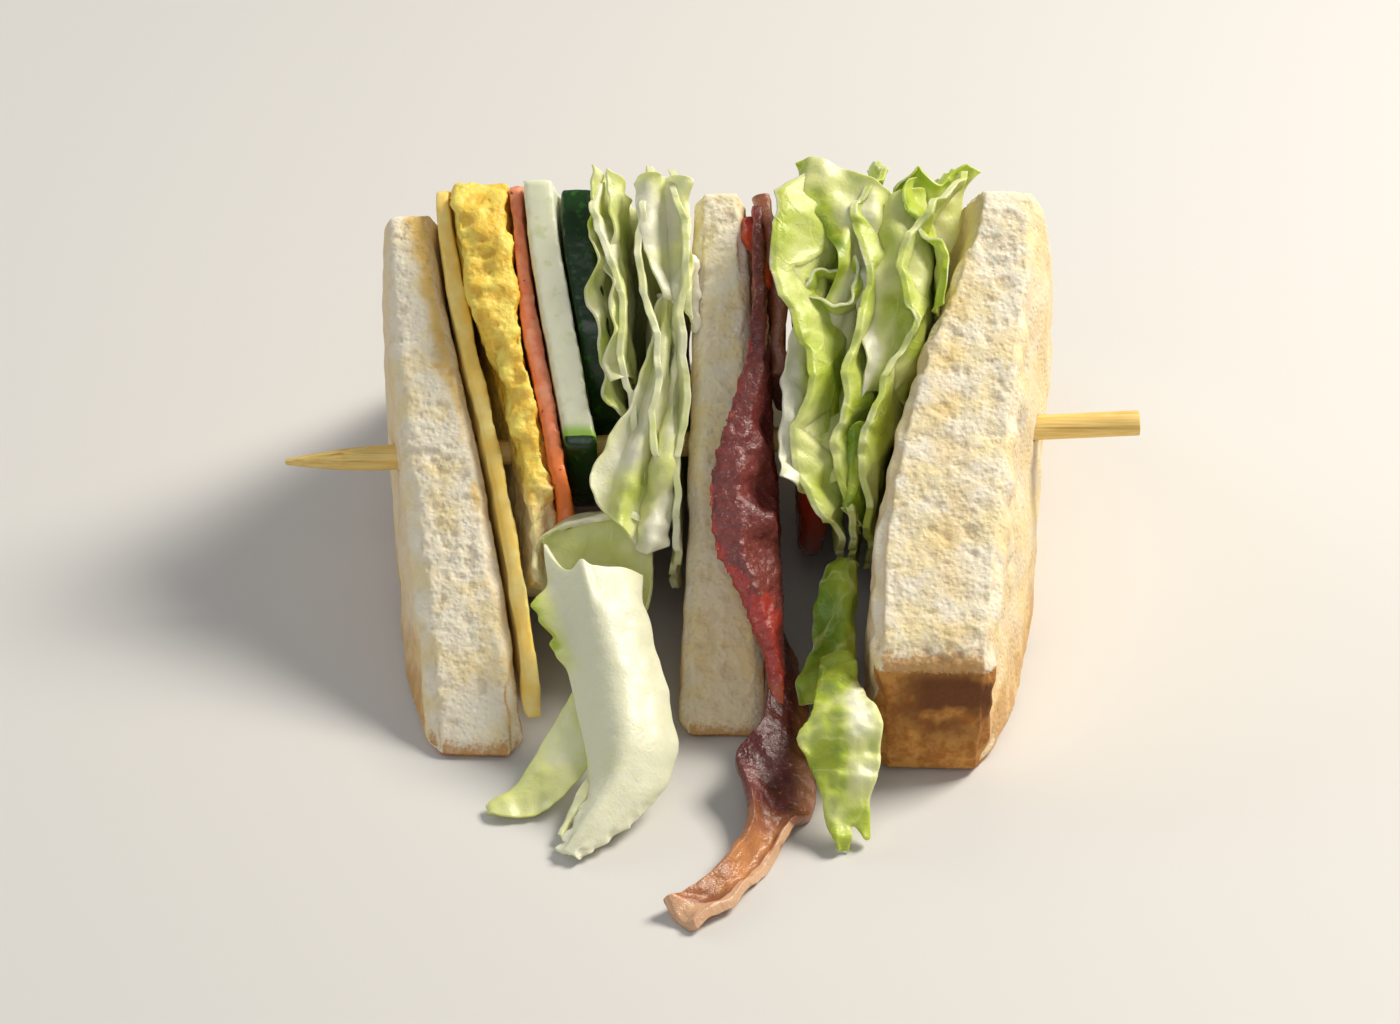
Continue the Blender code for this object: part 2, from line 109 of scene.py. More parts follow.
def lump(point, size, seed=0):
    """A soft noise from about -1 to 1 with lumps of the given size."""
    return noise.noise(point / size + Vector((seed, 2 * seed, -seed)))


def rough(point, size, octaves, seed=0):
    """A noise with finer and finer lumps."""
    return noise.fractal(point / size + Vector((seed, -seed, seed)), 0.7, 2.1, octaves)


def cells(point, size, seed=0):
    """0 on the walls between round cells of the given size, up to about 1 in their middles."""
    near, next_one = noise.voronoi(point / size + Vector((seed, seed, 0)))[0][:2]
    return min(1, (next_one - near) * 1.6)


def holes(point, size, share, seed=0):
    """1 in round holes of uneven size, 0 between them. The share says how much room they take."""
    place = point / size + Vector((seed, seed, 0))
    distances, centres = noise.voronoi(place + 0.35 * noise.noise_vector(place * 1.7))
    reach = share * (0.5 + 0.7 * noise.cell(centres[0] * 7.3))
    return rise(reach - distances[0], 0, 0.16)


def along(points, share):
    """The point at a share from 0 to 1 of the smooth line through the points."""
    place = share * (len(points) - 1)
    i = min(int(place), len(points) - 2)
    t = place - i
    a, b, c, d = (points[min(max(k, 0), len(points) - 1)] for k in range(i - 1, i + 3))
    first, second, third = c - a, 2 * a - 5 * b + 4 * c - d, 3 * b - a - 3 * c + d
    return b + (first * t + second * t**2 + third * t**3) / 2


# ---- materials


def tint(red, green, blue):
    """A screen colour, from 0 to 255 a channel, as a shader colour."""
    shares = [c / 255 for c in (red, green, blue)]
    return (*[c / 12.92 if c <= 0.04045 else ((c + 0.055) / 1.055) ** 2.4 for c in shares], 1)


class Value:
    """A shader socket that sums can be written with."""

    def __init__(self, recipe, socket):
        self.recipe = recipe
        self.socket = socket

    def _math(self, operation, *values):
        return self.recipe.node("ShaderNodeMath", {"operation": operation}, *values)

    def __add__(self, other):
        return self._math("ADD", self, other)

    def __radd__(self, other):
        return self._math("ADD", other, self)

    def __sub__(self, other):
        return self._math("SUBTRACT", self, other)

    def __rsub__(self, other):
        return self._math("SUBTRACT", other, self)

    def __mul__(self, other):
        return self._math("MULTIPLY", self, other)

    def __rmul__(self, other):
        return self._math("MULTIPLY", other, self)

    def __abs__(self):
        return self._math("ABSOLUTE", self)


class Recipe:
    """One material and its nodes. Sockets that are the same all over are set on its shader."""

    def __init__(self, name, **constants):
        self.material = bpy.data.materials.new(name)
        self.material.use_nodes = True
        self.tree = self.material.node_tree
        self.shader = self.tree.nodes["Principled BSDF"]
        for socket, value in constants.items():
            self.shader.inputs[socket.replace("_", " ")].default_value = value

    def node(self, kind, settings, *values, out=0, **named):
        """Adds a node: its settings, then its sockets in order, then those given by name or place."""
        made = self.tree.nodes.new(kind)
        for setting, value in settings.items():
            setattr(made, setting, value)
        pairs = list(enumerate(values)) + [(key.replace("_", " "), value) for key, value in named.items()]
        for key, value in pairs:
            socket = made.inputs[int(key[1:]) if isinstance(key, str) and key[1:].isdigit() else key]
            if isinstance(value, Value):
                self.tree.links.new(value.socket, socket)
            elif value is not None:
                socket.default_value = value
        return Value(self, made.outputs[out])

    def painted(self, name):
        """A number painted on the piece's points."""
        return self.node("ShaderNodeAttribute", {"attribute_name": name}, out="Fac")

    def spread(self, size, stretch=(1, 1, 1)):
        """Places on the piece, scaled so that a size in mm becomes 1. A stretch of more than 1 along
        an axis makes the pattern longer there."""
        scale = [1 / (size * MM * s) for s in stretch]
        place = self.node("ShaderNodeTexCoord", {}, out="Object")
        return self.node("ShaderNodeVectorMath", {"operation": "MULTIPLY"}, place, scale)

    def grain(self, size, detail=3, roughness=0.55, stretch=(1, 1, 1), distortion=0):
        """Noise with lumps of a size in mm."""
        named = {"Scale": 1, "Detail": detail, "Roughness": roughness, "Distortion": distortion}
        return self.node("ShaderNodeTexNoise", {}, Vector=self.spread(size, stretch), **named)

    def spots(self, size):
        """The distance from the nearest of many spots, set about a size in mm apart."""
        return self.node("ShaderNodeTexVoronoi", {}, Vector=self.spread(size), Scale=1, out="Distance")

    def step(self, value, low, high):
        """A smooth step of the value from 0 at low to 1 at high."""
        settings = {"interpolation_type": "SMOOTHSTEP"}
        return self.node("ShaderNodeMapRange", settings, value, low, high, 0, 1)

    def mix(self, share, first, second):
        """A colour between two."""
        return self.node("ShaderNodeMix", {"data_type": "RGBA"}, share, i6=first, i7=second, out=2)

    def finish(self, colour, roughness, relief, depth, strength):
        """Links what changes over the piece. The relief goes from 0 to 1 and its depth is in mm."""
        normal = self.node(
            "ShaderNodeBump", {}, Strength=strength, Distance=depth * MM, Height=relief
        )
        for socket, value in (("Base Color", colour), ("Roughness", roughness), ("Normal", normal)):
            self.tree.links.new(value.socket, self.shader.inputs[socket])
        return self.material


def soft(weight, radius, scale=1):
    """Sockets of a food that light goes into, its colours' reach given in mm."""
    return {"Subsurface_Weight": weight, "Subsurface_Radius": radius, "Subsurface_Scale": scale * MM}


def toast_look(looks):
    """Open crumb on the cut faces, golden toasted sides and brown crust."""
    recipe = Recipe("toast", Roughness=0.85, **soft(0.25, (1, 0.7, 0.4), 0.8))
    fine = recipe.grain(0.45, 4, 0.7)
    broad = recipe.grain(5, 2)
    streaks = recipe.grain(0.9, 3, 0.6, (1, 1, 3))
    crumb = recipe.mix(recipe.step(broad, 0.4, 0.65), looks.crumb, looks.crumb_warm)
    # painted shade: the pores are also painted a darker, warmer colour, as the shade inside them
    crumb = recipe.mix(recipe.painted("pore") * 0.3, crumb, looks.pore)
    # painted highlight: short upright streaks of the crumb are painted brighter, as light catching its
    # fibres
    crumb = recipe.mix(recipe.step(streaks, 0.56, 0.72) * 0.45, crumb, looks.crumb_bright)
    crumb = recipe.mix(recipe.painted("buttered") * 0.8, crumb, looks.butter)
    brown = recipe.step(recipe.grain(3.5, 4, 0.6) + recipe.painted("toasted") * 0.35, 0.62, 0.95)
    side = recipe.mix(brown, looks.toasted, looks.toasted_dark)
    skin = recipe.mix(recipe.step(recipe.grain(2.2, 4, 0.65), 0.38, 0.62), looks.crust, looks.crust_dark)
    skin = recipe.mix(recipe.painted("scorched") * recipe.step(broad, 0.3, 0.5), skin, looks.scorched)
    edge = recipe.painted("crust") + (fine - 0.5) * 0.9
    rim = recipe.step(recipe.painted("golden") + (fine - 0.5) * 1.4, 0.25, 1)
    colour = recipe.mix(recipe.painted("toasted") * 0.85, crumb, side)
    colour = recipe.mix(rim * 0.85, colour, looks.toasted_dark)
    colour = recipe.mix(recipe.step(edge, 0.35, 0.6), colour, skin)
    relief = recipe.step(recipe.spots(0.7), 0.1, 0.6) * 0.6 + fine
    return recipe.finish(colour, 0.75 + fine * 0.25, relief, 0.25, 0.6)


def cheese_look(looks):
    recipe = Recipe("cheese", **soft(0.5, (1.2, 0.8, 0.2), 1))
    mottle = recipe.grain(3, 3)
    colour = recipe.mix(recipe.step(mottle, 0.35, 0.7), looks.cheese, looks.cheese_pale)
    return recipe.finish(colour, 0.32 + mottle * 0.25, recipe.grain(0.8, 3), 0.12, 0.5)


def egg_look(looks):
    """Bright egg with browned flecks, creamy where it was whipped thin."""
    recipe = Recipe("omelette", **soft(0.45, (1.2, 0.8, 0.3), 1))
    patches = recipe.grain(3.2, 4, 0.6)
    colour = recipe.mix(recipe.step(patches, 0.38, 0.62), looks.egg_deep, looks.egg)
    colour = recipe.mix(recipe.painted("creamy"), colour, looks.egg_cream)
    # painted shade: the carved holes are painted a deeper yellow, as the shade inside them
    colour = recipe.mix(recipe.painted("pore") * 0.6, colour, looks.egg_deep)
    flecks = recipe.step(recipe.grain(1.2, 4, 0.6), 0.68, 0.78)
    colour = recipe.mix(flecks * 0.5, colour, looks.egg_brown)
    relief = recipe.grain(0.7, 4, 0.6) + recipe.step(recipe.spots(1.1), 0.05, 0.5) * 0.6
    return recipe.finish(colour, 0.3 + patches * 0.35, relief, 0.3, 0.8)


def ham_look(looks):
    recipe = Recipe("ham", **soft(0.35, (1.6, 0.6, 0.4), 1))
    grain = recipe.grain(1.6, 4, 0.6, (1, 1, 2))
    colour = recipe.mix(recipe.step(grain, 0.35, 0.65), looks.ham, looks.ham_pale)
    # painted light: the lower part is painted a warmer orange, standing for warm light falling on it from
    # behind
    colour = recipe.mix(recipe.painted("warm"), colour, looks.ham_warm)
    specks = recipe.step(recipe.grain(0.9, 2, 0.5), 0.69, 0.73)
    colour = recipe.mix(specks * 0.85, colour, looks.pepper)
    return recipe.finish(colour, 0.25 + grain * 0.3, grain, 0.2, 0.6)


def cucumber_look(looks):
    """Pale watery flesh with a greener heart, and a thin dark skin."""
    recipe = Recipe("cucumber", **soft(0.5, (1.2, 1.4, 0.8), 1.5))
    grain = recipe.grain(2)
    flesh = recipe.mix(recipe.step(grain, 0.2, 0.5), looks.cucumber, looks.cucumber_pale)
    flesh = recipe.mix(recipe.painted("heart") * 0.6, flesh, looks.cucumber_heart)
    flesh = recipe.mix(recipe.painted("under_skin"), flesh, looks.cucumber_under)
    light = recipe.step(recipe.grain(1.2, 4), 0.55, 0.7)
    skin = recipe.mix(light, looks.cucumber_skin, looks.cucumber_light)
    colour = recipe.mix(recipe.step(recipe.painted("skin"), 0.4, 0.6), flesh, skin)
    return recipe.finish(colour, 0.2 + grain * 0.2, recipe.grain(0.9), 0.1, 0.5)


def tomato_look(looks):
    recipe = Recipe("tomato", **soft(0.4, (1.8, 0.4, 0.2), 1.2))
    grain = recipe.grain(1.8, 4)
    flesh = recipe.mix(recipe.step(grain, 0.35, 0.65), looks.tomato, looks.tomato_deep)
    flesh = recipe.mix(recipe.painted("seeds") * 0.7, flesh, looks.tomato_seeds)
    colour = recipe.mix(recipe.step(recipe.painted("skin"), 0.4, 0.6), flesh, looks.tomato_skin)
    return recipe.finish(colour, 0.12 + grain * 0.2, grain, 0.25, 0.6)


def leaf_look(looks):
    """White at the ribs, green at the frills, with fine pale veins; white patches along the cut rims are a
    painted highlight.
    """
    recipe = Recipe("lettuce", **soft(0.45, (0.9, 1.2, 0.4), 0.9))
    green = recipe.painted("green") + (recipe.grain(7, 3, 0.6) - 0.5) * 0.7
    colour = recipe.mix(recipe.step(green, 0.05, 0.45), looks.leaf_white, looks.leaf_pale)
    colour = recipe.mix(recipe.step(green, 0.4, 0.75), colour, looks.leaf_green)
    colour = recipe.mix(recipe.step(green, 0.75, 1.15), colour, looks.leaf_deep)
    large = abs(recipe.grain(6.5, 1, 0.4, (1, 1, 1.6), distortion=0.6) - 0.5)
    small = abs(recipe.grain(2.4, 1, 0.4, distortion=0.5) - 0.5)
    veins = 1 - recipe.step(large, 0, 0.035)
    veins = (veins + (1 - recipe.step(small, 0, 0.03)) * 0.45) * recipe.step(green, 0.35, 0.8)
    colour = recipe.mix(veins * 0.3, colour, looks.leaf_pale)
    # painted highlight: patches along the cut rims are painted white, where they would catch the light
    lit_rim = recipe.step(recipe.painted("rim"), 0.86, 0.99) * recipe.step(recipe.grain(5, 2), 0.4, 0.62)
    colour = recipe.mix(lit_rim * 0.75, colour, looks.leaf_white)
    blisters = recipe.grain(1.6, 3)
    relief = blisters * 0.8 + veins * 0.3 + recipe.grain(0.35, 2) * 0.2
    return recipe.finish(colour, 0.27 + blisters * 0.3, relief, 0.25, 0.8)


def bacon_look(looks):
    """Lean and fat in streaks along the strip, with a glossy red lip along the left edge, which is partly
    the lean's own red and partly a painted highlight of a lit edge, and browned ends.
    """
    recipe = Recipe("bacon", **soft(0.25, (1.5, 0.4, 0.3), 0.8))
    streak = recipe.painted("streak") + (recipe.grain(2.4, 4, 0.6) - 0.5) * 0.5
    meat = recipe.grain(1.1, 4, 0.65) * (0.2 + recipe.step(streak, -0.2, 0.25))
    lean = recipe.mix(meat, looks.bacon_dark, looks.bacon_lean)
    colour = recipe.mix(recipe.step(streak, 0.62, 0.78), lean, looks.bacon_fat)
    lip = recipe.painted("lip") + (recipe.grain(1, 3) - 0.5) * 0.4
    # partly painted highlight: the lip's red is the lean's own red, brightened as a lit edge
    colour = recipe.mix(recipe.step(lip, 0.4, 0.8), colour, looks.bacon_red)
    colour = recipe.mix(recipe.painted("browned"), colour, looks.bacon_brown)
    specks = recipe.step(recipe.grain(0.5, 3, 0.7), 0.6, 0.7)
    colour = recipe.mix(specks * 0.35, colour, looks.bacon_fat)
    relief = recipe.grain(0.8, 4, 0.65)
    return recipe.finish(colour, 0.04 + relief * 0.36, relief, 0.25, 0.9)


def bamboo_look(looks):
    recipe = Recipe("bamboo", **soft(0.1, (1, 0.7, 0.4), 0.5))
    lines = recipe.grain(0.22, 3, 0.6, (40, 1, 1))
    colour = recipe.mix(recipe.step(lines, 0.35, 0.68), looks.bamboo, looks.bamboo_pale)
    dark_lines = recipe.step(recipe.grain(0.5, 2, 0.5, (60, 1, 1)), 0.6, 0.75)
    colour = recipe.mix(dark_lines, colour, looks.bamboo_line)
    return recipe.finish(colour, 0.4 + lines * 0.25, lines, 0.08, 0.7)


def plain_look(name, colour, roughness, bump_size, depth, **constants):
    """An even finish with a little mottling, for small things."""
    recipe = Recipe(name, **constants)
    grain = recipe.grain(bump_size, 3)
    shade = recipe.node("ShaderNodeHueSaturation", {}, Value=0.75 + grain * 0.5, Color=colour)
    return recipe.finish(shade, roughness + grain * 0.1, grain, depth, 0.7)


# ---- shaping


def painting(bm, name):
    """The layer of numbers with a name on a shape's points."""
    layers = bm.verts.layers.float
    return layers.get(name) or layers.new(name)


def as_mesh(bm, name):
    """Turns the shape into a mesh and frees it."""
    mesh = bpy.data.meshes.new(name)
    bm.to_mesh(mesh)
    bm.free()
    return mesh


def in_scene(name, data):
    """A new object in the scene."""
    obj = bpy.data.objects.new(name, data)
    bpy.context.scene.collection.objects.link(obj)
    return obj


def copied(node):
    """A node's solid in mm, its loose triangles merged."""
    bm = bmesh.new()
    bm.from_mesh(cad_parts[node].data)
    bmesh.ops.remove_doubles(bm, verts=bm.verts[:], dist=MM * 0.001)
    bmesh.ops.scale(bm, vec=Vector((1, 1, 1)) / MM, verts=bm.verts[:])
    return bm


def remeshed(bm, cell, smoothing=2):
    """The shape built again from even cells of a size in mm, its edges softened."""
    mesh = as_mesh(bm, "rough shape")
    rough_shape = in_scene("rough shape", mesh)
    cells_of = rough_shape.modifiers.new("cells", "REMESH")
    cells_of.mode = "VOXEL"
    cells_of.voxel_size = cell
    bpy.context.view_layer.update()
    made = bmesh.new()
    made.from_object(rough_shape, bpy.context.evaluated_depsgraph_get())
    bpy.data.objects.remove(rough_shape)
    bpy.data.meshes.remove(mesh)
    for _ in range(smoothing):
        bmesh.ops.smooth_vert(
            made, verts=made.verts[:], factor=0.5, use_axis_x=True, use_axis_y=True, use_axis_z=True
        )
    return made


def carve(bm, depth):
    """Moves each point along its normal by depth(place, normal), in mm."""
    bm.normal_update()
    moves = [(v, v.normal * depth(v.co, v.normal)) for v in bm.verts]
    for v, move in moves:
        v.co += move


def lift(bm, height):
    """Keeps the points from being lower than a height."""
    for v in bm.verts:
        v.co.z = max(v.co.z, height)


def push(bm, way):
    """Moves each point by the vector that way(place) gives."""
    for v in bm.verts:
        v.co += way(v.co)


def paint(bm, **numbers):
    """Paints numbers on the points, each given as a function of place and normal."""
    bm.normal_update()
    for name, number in numbers.items():
        layer = painting(bm, name)
        for v in bm.verts:
            v[layer] = number(v.co, v.normal)


def from_edge(bm, side, depth):
    """Gives how far a point is inside the piece's left (-1) or right (1) edge, which is looked for
    down to a depth behind the front cut face."""
    edge = {}
    for v in bm.verts:
        if outside_front(v.co) > -depth:
            level = round(v.co.z)
            edge[level] = max(side * v.co.x, edge.get(level, side * v.co.x))
    return lambda place: edge.get(round(place.z), side * place.x) - side * place.x


def tucked(place):
    """1 low on the front cut face, where the hanging leaf's fold covers the layers behind it."""
    return rise(24.5 - place.z, 0, 3.5) * rise(outside_front(place), -6, 5)


def served(name, bm, look, nodes=(), rounding=0):
    """Finishes a piece: scales it to metres, puts it in the scene and ties it to the frame."""
    lift(bm, TABLE_GAP)
    bmesh.ops.scale(bm, vec=Vector((1, 1, 1)) * MM, verts=bm.verts[:])
    mesh = as_mesh(bm, name)
    mesh.materials.append(look)
    mesh.shade_smooth()
    obj = in_scene(name, mesh)
    if rounding:
        rounder = obj.modifiers.new("rounding", "SUBSURF")
        rounder.levels = rounding
        rounder.render_levels = rounding
    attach(obj, "root")
    if nodes:
        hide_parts(*nodes)


def added(bm, other):
    """Puts another shape into the first."""
    mesh = as_mesh(other, "addition")
    bm.from_mesh(mesh)
    bpy.data.meshes.remove(mesh)


# ---- toasts


def make_toast(node, look, cell, pore, edge_wear):
    """A toast with open crumb, worn edges and a crust."""
    bm = remeshed(copied(node), cell * CRUMB_CELL)
    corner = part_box(node)[0].y / MM
    inside = from_edge(bm, 1, 4.5)

    def near_cut(place):
        return rise(max(outside_front(place), outside_back(place)), -2.6, 2.4)

    def cut_side(place, normal):
        """1 on the two cut faces, 0 on the toasted sides and the crust."""
        return rise(1 - abs(normal.x), 0.25, 0.4) * rise(place.z, 0.5, 1.5)

    def crust(place, normal):
        under = 1 - rise(place.z, 0.3, 0.9)
        front = rise(-place.y, -corner - 3.2, 1.6) if node == "bread_right" else 0
        return max(under, front * (1 - rise(place.z, 13, 2.5)))

    def pore_at(place):
        density = 0.42 + 0.2 * lump(place, 8)
        large = holes(place, pore * 2, density, 3)
        small = holes(place, pore, density + 0.06, 8)
        return min(1, large + 0.8 * small)

    def golden(place):
        """The baked band next to the crust, high on the right toast's cut corner."""
        top = 15 if node == "bread_right" and place.y < 0 else 0.6
        return 1 - rise(place.z + 0.9 * lump(place, 2.5), top, 3)

    def butter(place):
        if node == "bread_left":
            width = 1.5 + 2 * rise(place.z, 14, 30) + 1.8 * lump(place, 3.4, 2)
            return rise(width - inside(place), 0, 1.8) * rise(place.z, 8, 10)
        if node == "bread_right":
            return 0.5 * rise(4 - abs(place.x - 27.5), 0, 4) * rise(lump(place, 4, 6), -0.3, 0.7)
        return 0.35 * (1 - rise(place.z, 8, 20))

    def depth(place, normal):
        cut = cut_side(place, normal)
        hard = crust(place, normal)
        open_crumb = -0.24 * (cut + 0.2 * (1 - cut)) * (1 - hard) * pore_at(place)
        fibres = Vector((place.x, place.y / 1.8, place.z / 1.8))
        torn = cut * 0.13 * rough(fibres, 0.75, 3) + 0.35 * lump(place, 7, 5) + 0.16 * lump(place, 2.4)
        edge = near_cut(place) * rise(abs(normal.x), 0.15, 0.5)
        wear = -edge_wear * edge * max(0, lump(place, 3) + 0.3)
        return open_crumb + torn * (1 - 0.6 * hard) + wear

    carve(bm, depth)
    lean = (STICK_END - STICK_START).normalized()
    for v in bm.verts:
        away = v.co - STICK_START
        away -= lean * away.dot(lean)
        if away.length < STICK_DENT:
            v.co -= away.normalized() * 0.4 * rise(STICK_DENT - away.length, 0, 1.2)
    paint(
        bm,
        pore=lambda p, n: pore_at(p),
        crust=crust,
        toasted=lambda p, n: rise(abs(n.x), 0.55, 0.35) * (1 - 0.55 * rise(p.z, 3, 10)),
        scorched=lambda p, n: crust(p, n) * rise(p.z + 1.5 * lump(p, 3), 3, 7) * rise(p.x, 18, 7)
        if node == "bread_right" else 0,
        golden=lambda p, n: golden(p) * rise(1 - abs(n.x), 0.25, 0.4),
        buttered=lambda p, n: butter(p) * cut_side(p, n),
    )
    served(node, bm, look, [node])


# ---- leaves


def rim_tree(bm):
    """A search tree of points along the sharp rims of a thin piece."""
    points = []
    for edge in bm.edges:
        if len(edge.link_faces) == 2 and edge.calc_face_angle(0) > 1:
            a, b = (v.co for v in edge.verts)
            count = max(1, round((b - a).length / 0.8))
            points += [a.lerp(b, k / count) for k in range(count + 1)]
    tree = kdtree.KDTree(len(points))
    for k, point in enumerate(points):
        tree.insert(point, k)
    tree.balance()
    return tree


def base_leaf(node, ruffle, seed):
    """A packed leaf cut into fine cells, its rims frilled."""
    bm = copied(node)
    tree = rim_tree(bm)
    bmesh.ops.subdivide_edges(bm, edges=bm.edges[:], cuts=5, use_grid_fill=True)
    rim = painting(bm, "rim")
    for v in bm.verts:
        v[rim] = 1 - min(tree.find(v.co)[2] / 4, 1)
    for v in bm.verts:
        flat = Vector((0, v.co.y, v.co.z))
        wave = noise.noise(flat / 5 + Vector((seed, 0, 0))) + 0.6 * noise.noise(flat / 2.2)
        v.co.x += ruffle * wave * (0.35 + v[rim])
        v.co += Vector((0, noise.noise(flat / 1.7), noise.noise(flat / 1.9))) * 0.9 * v[rim]
    return bm


def leaf_sheet(place_at, net, cells_across, cells_along, thickness, ruffle, seed, ragged=0.5):
    """A leaf through a net's lines of points, from its inner line to its free edge. A function
    turns each point's three numbers into its place."""
    lines = [[place_at(point) for point in line] for line in net]
    bm = bmesh.new()
    bmesh.ops.create_grid(bm, x_segments=cells_across, y_segments=cells_along, size=0.5)
    rim, share = painting(bm, "rim"), painting(bm, "across")
    for v in bm.verts:
        across, down = v.co.x + 0.5, v.co.y + 0.5
        v[share] = across
        left, right = (
            0.16 * ragged * abs(noise.noise(Vector((seed, down * 8, side)))) for side in (5.5, 0.5)
        )
        place = along([along(line, down) for line in lines], left + across * (1 - left - right))
        v[rim] = max(0, across, 1 - 6 * min(down, 1 - down)) ** 3
        v.co = place
    bmesh.ops.recalc_face_normals(bm, faces=bm.faces[:])
    bm.normal_update()

    def wave(place):
        return ruffle * (lump(place, 4.2, seed) + 0.35 * lump(place, 1.7, seed))

    moves = [(v, v.normal * wave(v.co) * (0.5 + 1.2 * v[rim])) for v in bm.verts]
    for v, move in moves:
        v.co += move
    bmesh.ops.solidify(bm, geom=bm.faces[:], thickness=thickness)
    return bm


# nets of the flaps at the front cut face, each point given as on_face takes it
INNER_FLAPS = (
    # the narrow leaf beside the cucumber, with its first tip
    (((-13.5, 48, -11), (-12.3, 42, -11), (-11.2, 36, -11), (-10, 30, -11)),
     ((-13.4, 50, -1), (-12.8, 44, -1), (-12.4, 38, -1), (-10.6, 29.5, -1)),
     ((-14.6, 51.2, 1.6), (-14.9, 45.5, 2.2), (-14.4, 39, 2), (-11.4, 30.5, 1.4))),
    # the second tip, which ends in a square corner
    (((-10.5, 49, -10), (-10.2, 43.5, -10), (-9.8, 38, -10), (-9.2, 33, -10)),
     ((-11.3, 50, -1), (-10.8, 44.5, -0.5), (-10.3, 39, -0.5), (-9.8, 33, -0.5)),
     ((-12.9, 51, 1.4), (-12.6, 45, 2.2), (-12.4, 39, 2.6), (-12, 32.2, 2.4))),
    # the broad white leaf, cupped
    (((-9.6, 49.6, 0.5), (-9.4, 46.5, 1.8), (-8.4, 43.5, 2.2), (-6.2, 39.6, 2)),
     ((-8, 50.3, 1.6), (-7.8, 46.8, 1.6), (-7.2, 43.5, 1.6), (-5.6, 39.4, 1.6)),
     ((-6.2, 50.4, 0.4), (-6, 46.5, -1), (-5.6, 43, -0.8), (-4.8, 39.2, 0.8)),
     ((-4.4, 50.2, 1.2), (-4.2, 46, 1), (-4, 42.5, 1.2), (-3.8, 38.6, 1.6)),
     ((-3.2, 49.8, 0.6), (-2.9, 45.5, 1.6), (-2.7, 42, 1.9), (-2.5, 37.5, 1.6))),
    # the folded leaf below it, which leans down to the left
    (((-6.8, 40, 0.4), (-8, 35, 2), (-10, 30.4, 2.2), (-13.2, 26.4, 1.8), (-14.6, 23.4, 2.6)),
     ((-6.2, 40.2, -1), (-7, 34.6, 0.2), (-9, 29.4, -0.4), (-11.4, 25, 0.6), (-12.6, 21.4, 0.8)),
     ((-5.6, 40, 0.2), (-6.2, 34, 1.8), (-7.8, 28.6, 1.8), (-9.8, 23.6, 1.6), (-10.6, 20, 2.2)),
     ((-5, 39.6, -1.2), (-5.2, 33.4, -1.4), (-6.2, 28, -1.8), (-8, 22.6, -1.2), (-8.8, 18.6, -0.4)),
     ((-4.6, 39.2, -0.4), (-4.6, 32.8, 1), (-5.2, 27.2, 1.2), (-6.6, 21.8, 1), (-7.4, 17.8, 1.6)),
     ((-4.2, 38.8, -1.8), (-4, 32.4, -1.4), (-4.2, 26.8, -1.6), (-4.8, 22, -1.4), (-5.4, 18.8, -0.6))),
)
